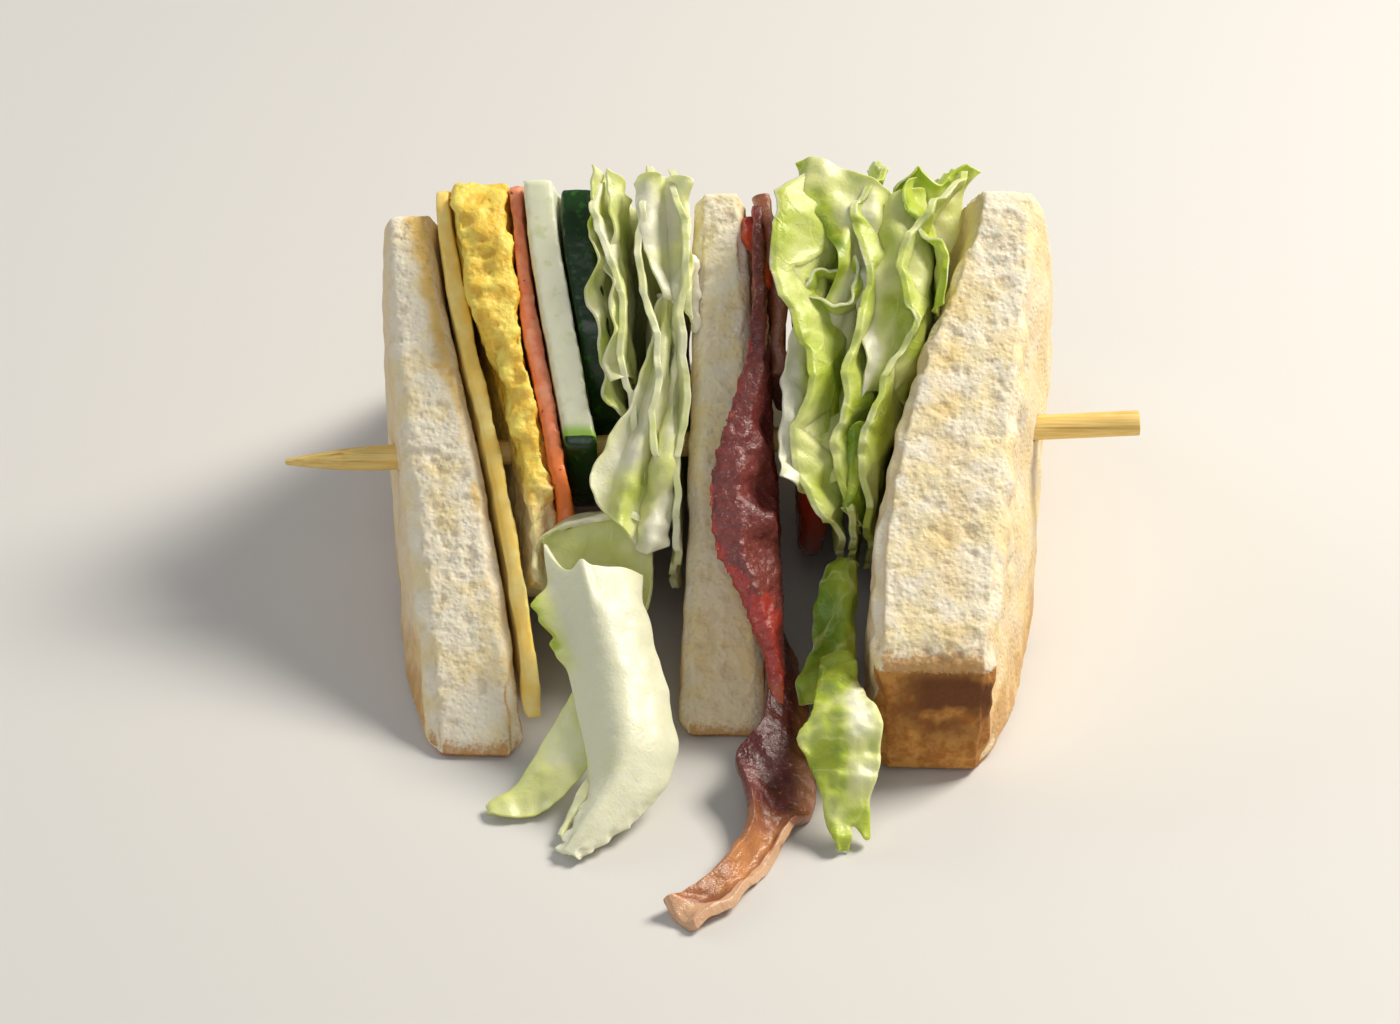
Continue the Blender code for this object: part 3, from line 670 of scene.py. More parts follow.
OUTER_FLAPS = (
    # the leaf with the pale left margin
    (((13, 45, -11), (13.5, 40.5, -11), (13.5, 36, -11), (13.5, 31, -11), (13.5, 27, -11), (13, 23, -11)),
     ((11.6, 44.6, 0), (13.2, 40.8, 0), (13.2, 36.8, 0), (12.8, 32.4, 0), (12.6, 27.8, 0), (12.8, 23, 0)),
     ((10.4, 44.2, 2.2), (11.8, 40.6, 2), (11, 36.7, 2.3), (10.6, 32.6, 2.3), (10.2, 27.8, 2.5),
      (10.4, 23.2, 2.6)),
     ((9.4, 43.4, 3.2), (10.6, 40.2, 3), (8.7, 36.3, 3.6), (8.3, 32.5, 3.8), (7.8, 27.6, 4),
      (7.3, 24, 4.1))),
    # the tongue at the top, and the green body below it
    (((20, 48, -11), (19, 45, -11), (18, 40, -11), (17.5, 35, -11), (17, 30, -11), (16.5, 24, -11)),
     ((19.5, 49.4, 0.5), (19.6, 46.4, 0.8), (18.6, 42, -0.5), (16.4, 36, -3), (16, 30, -2.5),
      (15.6, 24.4, -0.5)),
     ((14.8, 51, 1.8), (16.4, 47.4, 2.2), (17.2, 43.2, 1.6), (14.6, 37, -0.5), (14.2, 30.6, -0.6),
      (14.2, 24.2, 0.6)),
     ((11.2, 52.2, 2.2), (12.9, 47.6, 2.8), (15.6, 43.3, 3), (12.9, 37.2, 1), (12.4, 30.6, 0.6),
      (12.6, 23.6, 1)),
     ((8.6, 51.6, 1.6), (10.4, 47, 2), (14.4, 42.8, 3), (11.8, 37.4, 1), (11.2, 30.6, 0.8),
      (11, 23.4, 1.2))),
    # the curl at the end of the tongue
    (((16.6, 43.4, -5), (17.2, 40.8, -5), (15.8, 38.8, -5), (13.4, 38.4, -5), (11.8, 39.8, -5),
      (12.6, 41.6, -5), (14.6, 42, -5)),
     ((16.3, 43.2, 1.5), (17.1, 40.7, 1.5), (15.7, 38.8, 1.5), (13.4, 38.4, 1.5), (11.8, 39.9, 1.5),
      (12.6, 41.7, 1.5), (14.6, 41.8, 1.5)),
     ((16.1, 43, 3.4), (17, 40.6, 3.6), (15.6, 38.8, 3.6), (13.4, 38.4, 3.6), (11.6, 39.9, 3.6),
      (12.5, 41.8, 3.6), (14.6, 41.9, 3.4))),
    # the lit leaf with the white lower edge
    (((27, 49, -9), (27, 45, -9), (26, 40.5, -9), (24.5, 36, -9), (23, 31.5, -9)),
     ((24, 49.5, -0.5), (25, 45.5, 0.5), (25.4, 41, 1), (24.4, 36.5, 0.5), (22.2, 31.8, -0.5)),
     ((21, 49, 1.8), (21.6, 45.4, 2.6), (22, 41, 2.8), (21.6, 36.8, 2.2), (20.4, 31.8, 1.2)),
     ((18.8, 47.8, 1), (18.6, 44.4, 1.8), (18.4, 40.8, 2.4), (18.6, 36.8, 2.8), (18.6, 31.6, 2.6)),
     ((18, 46.8, -0.5), (17.4, 43.2, 0.8), (16.2, 39.2, 2.2), (17.2, 36.2, 3.2), (18, 31, 3.2))),
    # the small green curl beside the toast
    (((20, 28.2, -7), (20, 26, -7), (18.5, 23, -7), (17, 21, -7)),
     ((19, 28.4, 0.5), (18.8, 26, 0.5), (17.6, 23.6, 0.5), (16.4, 21.4, 0.5)),
     ((16.6, 28.8, 2.4), (16.8, 26.8, 2.6), (16.2, 24.6, 2.6), (15.4, 22.2, 2.2)),
     ((14.6, 26.4, 1.6), (14.6, 25.4, 1.8), (14.4, 24, 2), (14, 22.6, 1.6))),
    # the shaded leaf that comes down to the hanging tip
    (((16.6, 18, -5), (17, 14.5, -4), (17, 11, -3), (16.4, 8, -2), (15.6, 5.8, -1)),
     ((16.2, 18, -1.5), (16.4, 14.4, -0.5), (15.8, 11, 0.8), (15, 8, 1.2), (14.4, 5.6, 1.4)),
     ((15.6, 18.2, -1), (14.6, 14.8, 0.2), (13.4, 11.4, 0.8), (12.4, 8, 1), (12, 5.4, 1.2)),
     ((14.8, 18.4, -2.4), (13, 15, -1.2), (11.6, 11.8, -0.8), (10.6, 8.6, -0.6), (10.2, 5.6, 0.2))),
    # frills along the toast's torn inner edge
    (((24, 50.6, -6), (26.2, 47.5, -6), (26.8, 43.5, -6), (26, 39, -6)),
     ((22.6, 50.2, 0), (25, 46.6, 0), (26.6, 43, 0), (26.2, 38.6, 0)),
     ((21.8, 49.4, 2.4), (23.6, 46.2, 3), (26.2, 43.2, 2.8), (26.8, 38.6, 2.2)),
     ((22.4, 48, 3.6), (24.4, 45.2, 3.8), (27.2, 43, 3.6), (27.4, 39, 2.8))),
    # frills that stand above the ridge
    (((20, 44, -6), (23, 44, -6), (25.6, 44, -6), (27.6, 45, -6), (28.8, 46.5, -6)),
     ((20.4, 48.5, -3), (23.4, 49.5, -3.6), (26.2, 49, -3), (28.6, 49.8, -4), (29.8, 50.4, -4)),
     ((20.8, 50, -1), (23.8, 52.2, -1), (26.8, 50.4, -1.6), (29.6, 52.4, -2.5), (31.6, 51.8, -3))),
)

# nets of the leaf and the strip that hang out, each point given by X, Y and Z
HANGING_NETS = (
    # the white body
    (((-19.2, -31.2, 18.8), (-17.8, -38.8, 14.8), (-16.1, -44, 11.2), (-14.8, -48.8, 8.2), (-13.6, -53, 6),
      (-12.9, -58.2, 3.4), (-14.6, -62.9, 1.7), (-16.2, -66.6, 0.6)),
     ((-16.4, -36.3, 18.3), (-15.6, -39.8, 17), (-14, -45, 13.6), (-12.7, -49.8, 10.7), (-11.6, -54, 8.5),
      (-11.2, -59, 5.4), (-13.4, -63.6, 2.9), (-15.8, -66.9, 0.9)),
     ((-13.7, -37.3, 19.3), (-12.8, -41.2, 17.8), (-11.2, -45.6, 14.9), (-9.8, -50.4, 11.9),
      (-9, -54.7, 9.5), (-9.5, -59.4, 6.1), (-12.4, -64, 3.2), (-15.4, -67.1, 1.1)),
     ((-11, -36.4, 18.4), (-9.9, -39.9, 17.1), (-8.4, -45, 13.5), (-7, -49.9, 10.4), (-6.3, -54.2, 8.3),
      (-7.3, -59.2, 5.2), (-11.1, -63.9, 2.6), (-14.9, -67.2, 1)),
     ((-8.3, -34.4, 16.4), (-8, -39, 14.6), (-6.2, -44.1, 11.1), (-4.6, -49.1, 7.7), (-4, -53.8, 5.1),
      (-5.4, -58.4, 3.2), (-9.4, -63, 1.6), (-14.2, -67.2, 0.7))),
    # the left finger
    (((-15, -46, 9.5), (-17.1, -48.6, 6), (-19.2, -52, 3.6), (-22, -56, 1.6), (-25, -58.2, 0.8)),
     ((-13.5, -49, 7.5), (-16, -52.5, 5.2), (-18.6, -55.8, 3.4), (-21.8, -58, 1.8), (-24.8, -58.8, 0.9)),
     ((-12.8, -54, 4.5), (-15.2, -57, 2.5), (-18.2, -59.6, 1.4), (-22, -60.2, 0.8), (-24.9, -59.2, 0.7))),
    # the small tooth between them
    (((-13.2, -56.5, 4.2), (-14.8, -60, 2.6), (-16.4, -63.6, 1)),
     ((-12.7, -57.8, 4), (-14.6, -60.8, 2.6), (-16.3, -63.8, 1.1)),
     ((-12.3, -58.8, 3.2), (-14.4, -61.6, 1.8), (-16.2, -64, 0.9))),
    # the lip of the fold at the top
    (((-19.6, -28, 18.6), (-16.6, -26.8, 19.8), (-13.3, -26.2, 20.4), (-9.8, -25.8, 20.8), (-7.6, -26, 20)),
     ((-20, -30.4, 19.8), (-16.6, -29.4, 20.9), (-13.3, -28.8, 21.4), (-9.7, -28.4, 21.8),
      (-7, -28.8, 20.6)),
     ((-20, -31.2, 19), (-16.7, -30.2, 20.2), (-13.3, -29.6, 20.8), (-9.8, -29.2, 21.2), (-7.2, -29.6, 20))),
    # the inner wall of the fold
    (((-19.8, -30.6, 19.2), (-16.4, -29.6, 20.2), (-13.3, -29, 20.8), (-9.8, -28.6, 21.2),
      (-7.4, -29.2, 20)),
     ((-19.4, -31.2, 17), (-15.6, -30.8, 16.4), (-12.4, -30.6, 16), (-9, -30.6, 16.2), (-6.9, -31, 16.4)),
     ((-18.8, -35.4, 14), (-14.8, -34, 9.4), (-11.8, -33.6, 8.6), (-9.2, -34, 9), (-7.2, -35.6, 12))),
)
BACON_TAIL = (
    ((7.4, -33, 10.8), (6.8, -42, 8.5), (6.1, -49, 7.2), (3.1, -53.5, 5.8), (4.4, -58, 4.9),
     (5.4, -63, 4.1), (3.6, -68, 3.5), (-0.5, -73, 2.5), (-3.8, -76.6, 2.4)),
    ((8.6, -33, 8.4), (8.8, -42, 7), (8.8, -49, 5.8), (7.6, -53.5, 5.2), (8.2, -58, 2.6),
     (7.4, -63.5, 1.6), (5, -68.6, 1.4), (1.5, -74.4, 1.2), (-2.8, -78.2, 1)),
    ((11, -33, 4), (11.2, -42, 3.6), (11.3, -49, 2.9), (12, -53.5, 2.5), (12.3, -58, 1.8),
     (9.5, -63, 2), (6.6, -68, 1.6), (3.7, -74.5, 1.9), (-1.2, -79, 2)),
)


def make_leaves(name, nodes, flaps, look, greens, ruffle, crinkle):
    """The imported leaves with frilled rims, and the flaps that they show at the front cut face. The
    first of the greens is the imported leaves', and the others are the flaps', with how much greener
    their free edges are."""
    packed = bmesh.new()
    for k, node in enumerate(nodes):
        added(packed, base_leaf(node, ruffle, 3 * k))
    paint(packed, green=lambda p, n: greens[0] + 0.2 * lump(p, 8))
    served(name, packed, look, nodes)
    for k, (net, (green, at_edge)) in enumerate(zip(flaps, greens[1:])):
        bm = leaf_sheet(on_face, net, 30, 60, 0.4, crinkle, 2 * k)
        share, shade = painting(bm, "across"), painting(bm, "green")
        for v in bm.verts:
            v[shade] = green + 0.35 * lump(v.co, 5, k) + at_edge * rise(v[share], 0.6, 0.35)
        served(f"{name}_flap_{k + 1}", bm, look, rounding=1)


# ---- settings, operators and panel


COLOURS = {
    # the crumb's bright streak colour is a painted highlight on its fibres
    "crumb": (242, 232, 208), "crumb_warm": (241, 223, 176), "crumb_bright": (250, 246, 236),
    # the pore colour is painted shade inside the toasts' pores
    "pore": (214, 188, 140), "butter": (236, 194, 92),
    "toasted": (226, 188, 122), "toasted_dark": (196, 142, 72),
    "crust": (206, 148, 72), "crust_dark": (172, 108, 42), "scorched": (112, 64, 24),
    "cheese": (247, 208, 100), "cheese_pale": (250, 226, 144),
    "egg": (249, 224, 104), "egg_deep": (240, 198, 70),
    "egg_cream": (243, 229, 178), "egg_brown": (160, 100, 30),
    # the ham's warm orange colour is painted warm light on its lower part
    "ham": (228, 130, 92), "ham_pale": (239, 160, 122), "ham_warm": (238, 126, 52),
    "cucumber": (210, 214, 170), "cucumber_pale": (228, 228, 200), "cucumber_heart": (184, 200, 128),
    "cucumber_under": (150, 186, 70), "cucumber_skin": (18, 52, 10), "cucumber_light": (44, 96, 20),
    "tomato": (184, 58, 28), "tomato_deep": (164, 42, 18),
    "tomato_seeds": (214, 130, 50), "tomato_skin": (152, 44, 18),
    "leaf_white": (229, 228, 198), "leaf_pale": (220, 224, 148),
    "leaf_green": (180, 195, 62), "leaf_deep": (108, 142, 26),
    # the bacon's lip red is partly the lean's own red and partly a painted highlight on its lit left edge
    "bacon_lean": (140, 69, 63), "bacon_dark": (80, 33, 32), "bacon_red": (160, 56, 46),
    "bacon_fat": (218, 178, 142), "bacon_brown": (198, 134, 80),
    "bamboo": (224, 186, 98), "bamboo_pale": (240, 212, 134), "bamboo_line": (186, 146, 72),
    "mayonnaise": (238, 230, 206), "pepper": (40, 24, 14), "floor": (214, 211, 206),
}


def colour_setting(name, colour):
    label = name.replace("_", " ")
    return bpy.props.FloatVectorProperty(
        name=label.capitalize(), description=f"Colour of the {label}", subtype="COLOR", size=4, min=0,
        max=1, default=tint(*colour),
    )


class SandwichLooks(bpy.types.PropertyGroup):
    """Colours of the sandwich."""

    __annotations__ = {name: colour_setting(name, colour) for name, colour in COLOURS.items()}


class SandwichSizes(bpy.types.PropertyGroup):
    """Sizes of the sandwich's finer shapes, in millimetres."""

    cell: bpy.props.FloatProperty(
        name="Cell", description="Size of the cells that soft pieces are built from, in mm", default=0.42,
        min=0.2, max=2,
    )
    pore: bpy.props.FloatProperty(
        name="Pore", description="Size of a middling pore in the crumb, in mm", default=1.3, min=0.5, max=4
    )
    edge_wear: bpy.props.FloatProperty(
        name="Edge wear", description="How deep the toasts' edges are worn, in mm", default=0.9, min=0,
        max=2,
    )
    leaf_ruffle: bpy.props.FloatProperty(
        name="Leaf ruffle", description="How far the leaves ruffle, in mm", default=0.45, min=0, max=2
    )


class Maker:
    """What the operators share."""

    bl_options = {"REGISTER", "UNDO"}

    def execute(self, context):
        self.make(context.scene.sandwich_looks, context.scene.sandwich_sizes)
        return {"FINISHED"}


class SANDWICH_OT_toasts(Maker, bpy.types.Operator):
    """Makes the three toasts"""

    bl_idname = "sandwich.toasts"
    bl_label = "Toasts"

    def make(self, looks, sizes):
        look = toast_look(looks)
        for node in ("bread_left", "bread_middle", "bread_right"):
            make_toast(node, look, sizes.cell, sizes.pore, sizes.edge_wear)


class SANDWICH_OT_cheese(Maker, bpy.types.Operator):
    """Makes the cheese slice"""

    bl_idname = "sandwich.cheese"
    bl_label = "Cheese"

    def make(self, looks, sizes):
        bm = remeshed(copied("cheese"), sizes.cell, 4)
        carve(bm, lambda p, n: 0.3 * lump(p, 6, 1) + 0.12 * lump(p, 2, 2))
        served("cheese", bm, cheese_look(looks), ["cheese"])


class SANDWICH_OT_omelette(Maker, bpy.types.Operator):
    """Makes the omelette"""

    bl_idname = "sandwich.omelette"
    bl_label = "Omelette"

    def make(self, looks, sizes):
        bm = remeshed(copied("omelette"), sizes.cell, 3)

        def hole(p, n):
            return rise(cells(p, 2.4, 4), 0.5, 0.4)

        def depth(p, n):
            curds = 0.8 * lump(p, 4.2, 6) + 0.5 * lump(p, 1.9, 9) + 0.2 * rough(p, 0.9, 3)
            return (curds - 0.5 * hole(p, n)) * (0.45 + 0.55 * rise(outside_front(p), -5, 5))

        carve(bm, depth)
        push(bm, lambda p: Vector((0, 2.4, -2.4)) * tucked(p) * rise(p.x, -21, 2))
        paint(bm, creamy=lambda p, n: 1 - rise(p.z + 2.5 * lump(p, 4), 17, 9), pore=hole)
        served("omelette", bm, egg_look(looks), ["omelette"])


class SANDWICH_OT_ham(Maker, bpy.types.Operator):
    """Makes the ham slice"""

    bl_idname = "sandwich.ham"
    bl_label = "Ham"

    def make(self, looks, sizes):
        bm = remeshed(copied("ham"), sizes.cell, 3)
        carve(bm, lambda p, n: 0.3 * lump(p, 3.5, 3) + 0.14 * rough(p, 1.2, 3))
        push(bm, lambda p: Vector((0, 1.7, -1.7)) * tucked(p))
        # painted light: the warm layer marks the lower part, which is painted a warmer orange as warm light
        # from behind
        paint(bm, warm=lambda p, n: 1 - rise(p.z + 2 * lump(p, 3), 24, 8))
        served("ham", bm, ham_look(looks), ["ham"])


class SANDWICH_OT_cucumber(Maker, bpy.types.Operator):
    """Makes the two cucumber slices"""

    bl_idname = "sandwich.cucumber"
    bl_label = "Cucumber"

    def make(self, looks, sizes):
        look = cucumber_look(looks)
        for node, centre, radius in CUCUMBERS:
            def reach(p, centre=centre, radius=radius):
                """How far a point is inside the skin."""
                return radius - math.hypot(p.y - centre[0], p.z - centre[1])

            def skin_at(p, node=node):
                """How deep the skin reaches, deepest where the second slice was pared along its rim."""
                return 3.4 if node == "cucumber_b" and outside_front(p) > -3 else 0.75

            bm = remeshed(copied(node), sizes.cell, 3)
            carve(bm, lambda p, n: 0.12 * lump(p, 4, 2) + 0.05 * rough(p, 1.2, 3))
            paint(
                bm,
                skin=lambda p, n: 1 - rise(reach(p), skin_at(p), 0.35),
                under_skin=lambda p, n: 1 - rise(reach(p), skin_at(p) + 0.4, 1.4),
                heart=lambda p, n: rise(reach(p), radius * 0.45, radius * 0.12),
            )
            served(node, bm, look, [node])


class SANDWICH_OT_tomato(Maker, bpy.types.Operator):
    """Makes the tomato slice"""

    bl_idname = "sandwich.tomato"
    bl_label = "Tomato"

    def make(self, looks, sizes):
        bm = remeshed(copied("tomato"), sizes.cell, 3)

        def reach(p):
            return TOMATO_RADIUS - math.hypot(p.y - TOMATO_CENTRE[0], p.z - TOMATO_CENTRE[1])

        def chamber(p, n):
            turn = math.atan2(p.z - TOMATO_CENTRE[1], p.y - TOMATO_CENTRE[0])
            round_middle = rise(reach(p), 4, 3) * rise(19 - reach(p), 0, 4)
            return rise(math.cos(5 * turn), -0.1, 0.6) * round_middle

        carve(bm, lambda p, n: 0.25 * lump(p, 3, 3) - 0.4 * chamber(p, n) * rise(abs(n.x), 0.5, 0.4))
        paint(bm, skin=lambda p, n: 1 - rise(reach(p), 0.5, 0.35), seeds=chamber)
        served("tomato", bm, tomato_look(looks), ["tomato"])


class SANDWICH_OT_bacon(Maker, bpy.types.Operator):
    """Makes the two bacon strips"""

    bl_idname = "sandwich.bacon"
    bl_label = "Bacon"

    def make(self, looks, sizes):
        look = bacon_look(looks)
        bm = remeshed(copied("bacon_a"), BACON_CELL)
        carve(bm, lambda p, n: 0.28 * lump(p, 3, 3) + 0.18 * rough(p, 1, 3))
        inside = from_edge(bm, -1, 1)

        def lip(p, n):
            """The red margin along the left edge, which takes in the whole strip low down; its red is partly
            the lean's own and partly a painted highlight of the lit edge.
            """
            width = 1 + 3.6 * (1 - rise(p.z, 13, 11)) + 0.7 * lump(p, 2.2)
            return rise(width - inside(p), 0, 1.4) * rise(outside_front(p), -1.5, 2)

        paint(
            bm,
            lip=lip,
            streak=lambda p, n: 0.3 + 0.42 * lump(Vector((p.x, p.y / 6, outside_front(p))), 1.6, 4)
            + 0.4 * rise(1.3 - abs(p.x - 6.2 + 0.35 * (p.z - 38)), 0, 1) * rise(6 - abs(p.z - 38), 0, 3),
            browned=lambda p, n: 0.85 * (1 - rise(p.z + 1.5 * lump(p, 2), 5, 4)),
        )
        served("bacon_a", bm, look, ["bacon_a"])
        bm = leaf_sheet(Vector, BACON_TAIL, 24, 110, 1.1, 0.7, 9, 0.4)
        share, fat, browned = (painting(bm, name) for name in ("across", "streak", "browned"))
        for v in bm.verts:
            tail = rise(-v.co.y, 59, 6)
            end = rise(-v.co.y, 74.5, 2.5)
            rim = max(rise(v[share], 0.6, 0.25), end)
            # painted shade: less fat, so darker lean, on the part of the tail nearest the sandwich, as the
            # shade under the layers
            v[fat] = 0.1 - 0.5 * rise(58 + v.co.y, 0, 8) + 0.3 * lump(v.co, 2.5) + 0.8 * tail * rim
            v[browned] = tail * (0.75 + 0.5 * lump(v.co, 2.6)) * (1 - 0.8 * rim) + 0.5 * (1 - tail) * rim
            v.co.z += 1.1 * end * (1 - v[share]) + 0.25 * rough(v.co, 1.3, 3)
        lift(bm, LEAF_GAP)
        served("bacon_b", bm, look, ["bacon_b"], 1)


class SANDWICH_OT_lettuce(Maker, bpy.types.Operator):
    """Makes the leaves on both sides of the middle toast, and those that hang out"""

    bl_idname = "sandwich.lettuce"
    bl_label = "Lettuce"

    def make(self, looks, sizes):
        look = leaf_look(looks)
        inner = [f"lettuce_inner_{k}" for k in "abc"]
        outer = [f"lettuce_outer_{k}" for k in "abc"]
        inner_greens = (0.28, (0.42, 0.1), (0.34, 0), (0.08, 0.1), (0.32, -0.2))
        # the sixth flap, the leaf that comes down to the hanging tip, has the deepest green as painted shade
        outer_greens = (
            0.6, (0.56, -0.9), (0.34, 0.5), (0.6, 0.2), (0.5, -0.6), (0.8, 0.2), (0.95, 0), (0.6, 0.3),
            (0.42, 0.3),
        )
        make_leaves("lettuce_inner", inner, INNER_FLAPS, look, inner_greens, sizes.leaf_ruffle, 1.25)
        make_leaves("lettuce_outer", outer, OUTER_FLAPS, look, outer_greens, sizes.leaf_ruffle, 1.4)
        self.make_hanging(look)
        bm = remeshed(copied("lettuce_tip"), TIP_CELL, 3)
        crease = Vector((0.25, -0.55, 0.8))
        push(bm, lambda p: crease * (1.3 * lump(p, 3.4, 1) + 0.5 * lump(p, 1.5) - 0.28 * abs(p.x - 14.5)))
        lift(bm, LEAF_GAP)

        def green(p, n):
            """Deep where it comes from the shade, pale on its right shoulder."""
            shoulder = rise(p.x, 14.6, 2) * rise(p.z, 3, 3) * rise(-p.y, 47, 3)
            return 0.78 + 0.4 * lump(p, 3.6) + 0.2 * rise(p.y, -49, 4) - 0.5 * shoulder

        paint(bm, green=green, rim=lambda p, n: 0)
        served("lettuce_tip", bm, look, ["lettuce_tip"])

    def make_hanging(self, look):
        """The rib that hangs out at the front: its body, two side fingers, and the fold at its top."""
        parts = ("", "_finger", "_tooth", "_lip", "_pocket")
        for k, (part, net) in enumerate(zip(parts, HANGING_NETS)):
            body = k == 0
            thickness, ruffle, ragged = (0.7, 0.3, 0.1) if body else (0.45, 1, 0.6)
            bm = leaf_sheet(Vector, net, 30, 80, thickness, ruffle, 4 + k, ragged)
            # how green each part starts; the pocket's greener olive is painted shade inside the fold
            start = (0, 0.38, 0.28, 0.2, 0.42)[k]
            share, green, rim = (painting(bm, name) for name in ("across", "green", "rim"))
            for v in bm.verts:
                frill = 0
                if body:
                    ridge = math.cos(2 * math.pi * (2.4 * v[share] + 0.1 * lump(v.co, 9)))
                    curl = rise(0.22 - v[share], 0, 0.22) * rise(3 - abs(v.co.z - 13.8), 0, 1.8)
                    frill = curl + 0.4 * rise(0.12 - v[share], 0, 0.12) * rise(8 - v.co.z, 0, 3)
                    spur = rise(0.08 - abs(v[share] - 0.42), 0, 0.08) * rise(v.co.z, 17, 2)
                    torn = rise(5 - v.co.z, 0, 4) * rise(abs(2 * v[share] - 1), 0.3, 0.7)
                    v.co += Vector((0, -0.06, 0.13)) * ridge + Vector((0, 0.5, 1)) * spur
                    v.co += Vector((1.3 * lump(v.co, 1.3), 1.3 * lump(v.co, 1.1, 3), 0)) * torn
                    v.co += Vector((-2.2, 0, 0.4)) * curl * (0.8 + 1.2 * lump(v.co, 1.6))
                margin = rise(abs(2 * v[share] - 1), 0.72, 0.28)
                v[green] = start + 0.14 * margin + 0.6 * frill + 0.1 * lump(v.co, 5)
                v[rim] = 0
            lift(bm, LEAF_GAP)
            nodes = ["lettuce_hanging"] if body else []
            served(f"lettuce_hanging{part}", bm, look, nodes, 1)


def dabs(points, radius, unevenness, seed):
    """A row of merged round lumps along a smooth line through points on the front cut face."""
    points = [on_face(point) for point in points]
    bm = bmesh.new()
    length = sum((b - a).length for a, b in zip(points, points[1:]))
    count = max(2, round(2 * length / radius))
    for k in range(count + 1):
        place = along(points, k / count)
        size = radius * (1 + unevenness * noise.noise(place / (1.5 * radius) + Vector((seed, 0, 0))))
        bmesh.ops.create_icosphere(bm, subdivisions=2, radius=size, matrix=Matrix.Translation(place))
    return remeshed(bm, DAB_CELL, 3)


class SANDWICH_OT_bits(Maker, bpy.types.Operator):
    """Makes the mayonnaise and the bits between the layers"""

    bl_idname = "sandwich.bits"
    bl_label = "Mayonnaise and bits"

    def make(self, looks, sizes):
        sauce = plain_look("mayonnaise", looks.mayonnaise, 0.22, 1.5, 0.15, **soft(0.5, (1, 0.9, 0.6)))
        smear = ((-2.2, 37.5, -1.5), (-2.6, 39.5, -1.2), (-2.4, 41.5, -1.1), (-3, 43.5, -1))
        bm = dabs(smear, 0.8, 0.7, 3)
        out = Vector((0, -SLOPE, SLOPE))
        push(bm, lambda p: -0.5 * (outside_front(p) + 1) * out + Vector((0.4 * rough(p, 1.4, 2), 0, 0)))
        served("mayonnaise", bm, sauce)
        red = tomato_look(looks)
        bits = (((3.9, 46.6, -1.6), (4.6, 44.9, -0.8)), ((5.4, 43, -0.9), (5.8, 41.4, -0.6)))
        for k, line in enumerate(bits):
            served(f"tomato_bit_{k + 1}", dabs(line, 1.15, 0.6, 7 + k), red)
        strip = (
            ((6.7, 48.4, -16), (7.2, 45, -16), (7.8, 40, -16), (8.6, 33, -16)),
            ((6.7, 49.4, -0.6), (7.2, 46.4, 0.2), (7.9, 41.4, -0.4), (8.8, 34, -2.8)),
        )
        bm = leaf_sheet(on_face, strip, 16, 40, 1.8, 0.9, 5)
        paint(
            bm, lip=lambda p, n: 0, streak=lambda p, n: 0.35 + 0.3 * lump(p, 2),
            browned=lambda p, n: 0.35,
        )
        served("bacon_top", bm, bacon_look(looks), rounding=1)


class SANDWICH_OT_stick(Maker, bpy.types.Operator):
    """Makes the bamboo stick, sharpened at its left end"""

    bl_idname = "sandwich.stick"
    bl_label = "Stick"

    def make(self, looks, sizes):
        length = (STICK_END - STICK_START).length
        bm = bmesh.new()
        bmesh.ops.create_cone(
            bm, cap_ends=True, segments=40, radius1=STICK_RADIUS, radius2=STICK_RADIUS, depth=length
        )
        rims = [e for e in bm.edges if abs(e.verts[0].co.z - e.verts[1].co.z) < 0.1]
        bmesh.ops.bevel(bm, geom=rims, offset=0.15, segments=2, profile=0.5, affect="EDGES", material=-1)
        for k in range(1, 40):
            height = -length / 2 + length * k / 40
            bmesh.ops.bisect_plane(
                bm, geom=bm.verts[:] + bm.edges[:] + bm.faces[:], dist=0.01, plane_co=(0, 0, height),
                plane_no=(0, 0, 1),
            )
        for v in bm.verts:
            from_tip = v.co.z + length / 2
            narrow = STICK_TIP + (1 - STICK_TIP) * min(1, max(0, from_tip) / STICK_POINT) ** 0.8
            bend = 0.05 * noise.noise(Vector((v.co.x, v.co.y, v.co.z / 12)))
            v.co.x = v.co.x * (narrow + 0.03 * noise.noise(v.co / 3)) + bend
            v.co.y *= narrow + 0.03 * noise.noise(v.co / 3 + Vector((5, 0, 0)))
        turn = (STICK_END - STICK_START).to_track_quat("Z", "Y").to_matrix().to_4x4()
        middle = Matrix.Translation((STICK_START + STICK_END) / 2)
        bmesh.ops.transform(bm, matrix=middle @ turn, verts=bm.verts[:])
        served("skewer", bm, bamboo_look(looks), ["skewer"])


# each soft light's place, the point it's turned to, its width in m, its power in W and its colour
LIGHTS = (
    ("key", (0.42, 0.16, 0.52), (0.01, -0.01, 0.02), 0.26, 5.8, (1, 0.95, 0.86)),
    ("front fill", (-0.1, -0.75, 0.55), (0, -0.01, 0.02), 0.6, 1.8, (0.96, 0.98, 1)),
    ("left rim", (-0.5, 0.25, 0.3), (0, 0, 0.02), 0.3, 0.8, (0.95, 0.97, 1)),
)
CAMERA = ((0.0063, -0.3996, 0.2558), (-0.0015, -0.025, 0.0195))


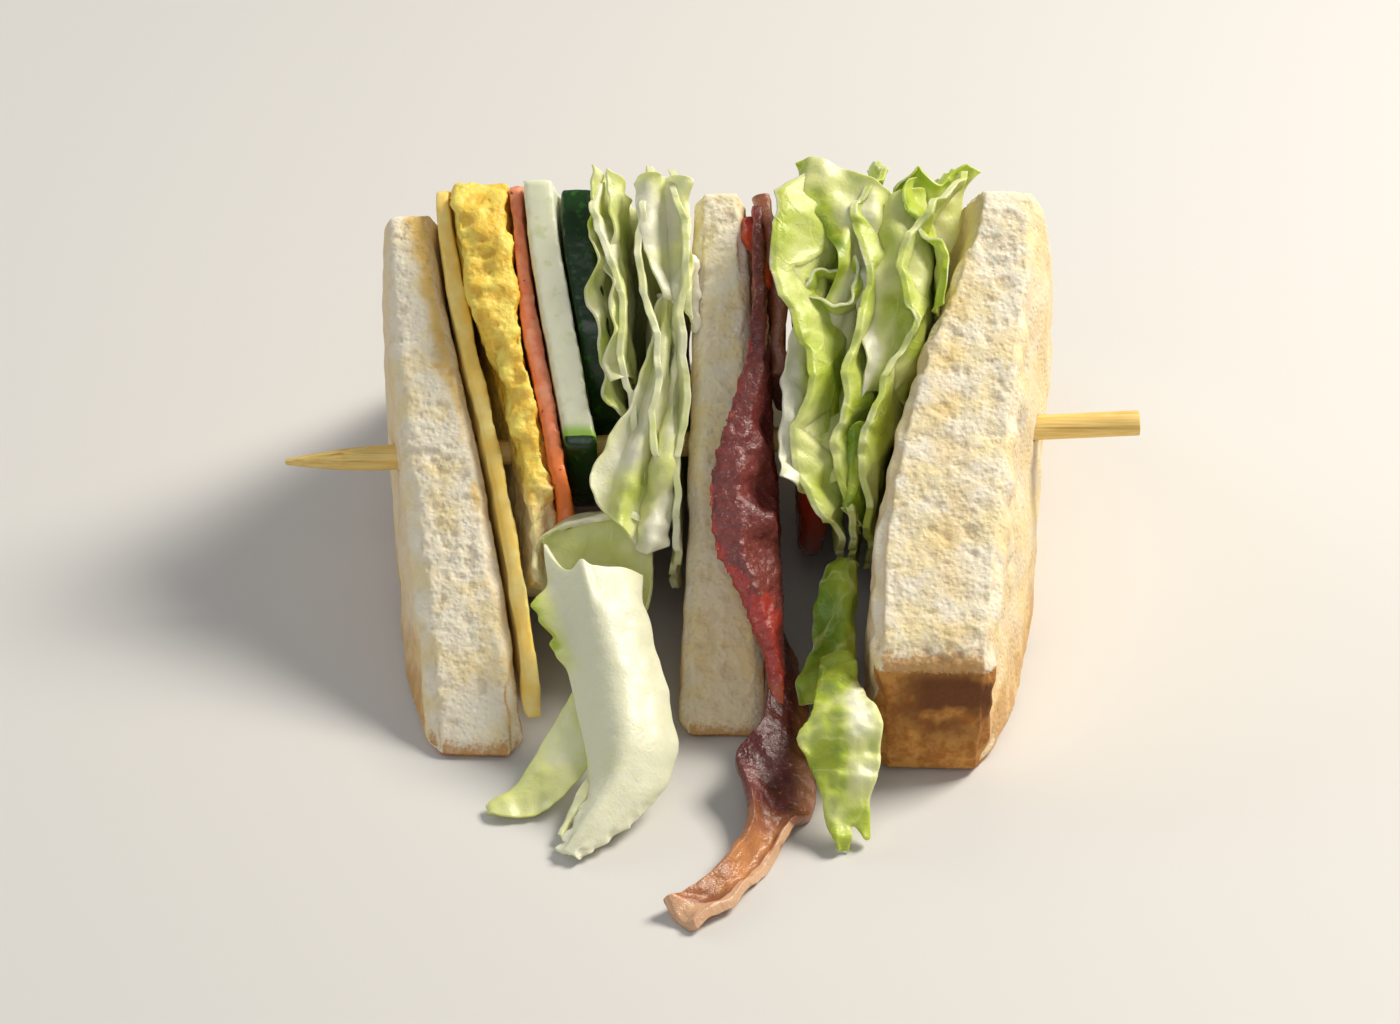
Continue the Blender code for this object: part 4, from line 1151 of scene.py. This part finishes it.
class SANDWICH_OT_stage(Maker, bpy.types.Operator):
    """Makes the table, the lights and the camera"""

    bl_idname = "sandwich.stage"
    bl_label = "Table, lights and camera"

    def make(self, looks, sizes):
        bm = bmesh.new()
        bmesh.ops.create_grid(bm, x_segments=1, y_segments=1, size=3)
        mesh = as_mesh(bm, "table")
        mesh.materials.append(Recipe("table", Base_Color=looks.floor, Roughness=0.6).material)
        in_scene("table", mesh)
        for name, place, aim, size, power, colour in LIGHTS:
            data = bpy.data.lights.new(name, "AREA")
            data.size, data.energy, data.color = size, power, colour
            self.aimed(name, data, place, aim)
        world = bpy.data.worlds.new("studio")
        world.use_nodes = True
        backdrop = world.node_tree.nodes["Background"]
        backdrop.inputs["Color"].default_value = (0.9, 0.93, 1, 1)
        backdrop.inputs["Strength"].default_value = 0.2
        scene = bpy.context.scene
        scene.world = world
        data = bpy.data.cameras.new("camera")
        data.lens, data.sensor_width, data.clip_start = 97, 36, 0.01
        scene.camera = self.aimed("camera", data, *CAMERA)
        scene.view_settings.view_transform = "Standard"

    def aimed(self, name, data, place, aim):
        """Puts a light or a camera at a place, turned to a point."""
        obj = in_scene(name, data)
        obj.location = place
        obj.rotation_mode = "QUATERNION"
        obj.rotation_quaternion = (Vector(aim) - Vector(place)).to_track_quat("-Z", "Y")
        return obj


STEPS = (
    "toasts", "cheese", "omelette", "ham", "cucumber", "tomato", "bacon", "lettuce", "bits", "stick",
    "stage",
)


class SANDWICH_PT_panel(bpy.types.Panel):
    """Lists the sandwich's pieces and settings"""

    bl_idname = "SANDWICH_PT_panel"
    bl_label = "Club sandwich"
    bl_space_type = "VIEW_3D"
    bl_region_type = "UI"
    bl_category = "Sandwich"

    def draw(self, context):
        for step in STEPS:
            self.layout.operator(f"sandwich.{step}")
        for group in (context.scene.sandwich_sizes, context.scene.sandwich_looks):
            box = self.layout.box()
            for setting in type(group).__annotations__:
                box.prop(group, setting)


CLASSES = (SandwichLooks, SandwichSizes, *Maker.__subclasses__(), SANDWICH_PT_panel)


def register():
    for kind in CLASSES:
        bpy.utils.register_class(kind)
    bpy.types.Scene.sandwich_looks = bpy.props.PointerProperty(type=SandwichLooks)
    bpy.types.Scene.sandwich_sizes = bpy.props.PointerProperty(type=SandwichSizes)


def unregister():
    del bpy.types.Scene.sandwich_sizes
    del bpy.types.Scene.sandwich_looks
    for kind in reversed(CLASSES):
        bpy.utils.unregister_class(kind)


def main():
    register()
    for step in STEPS:
        getattr(bpy.ops.sandwich, step)()


if __name__ == "__main__":
    main()
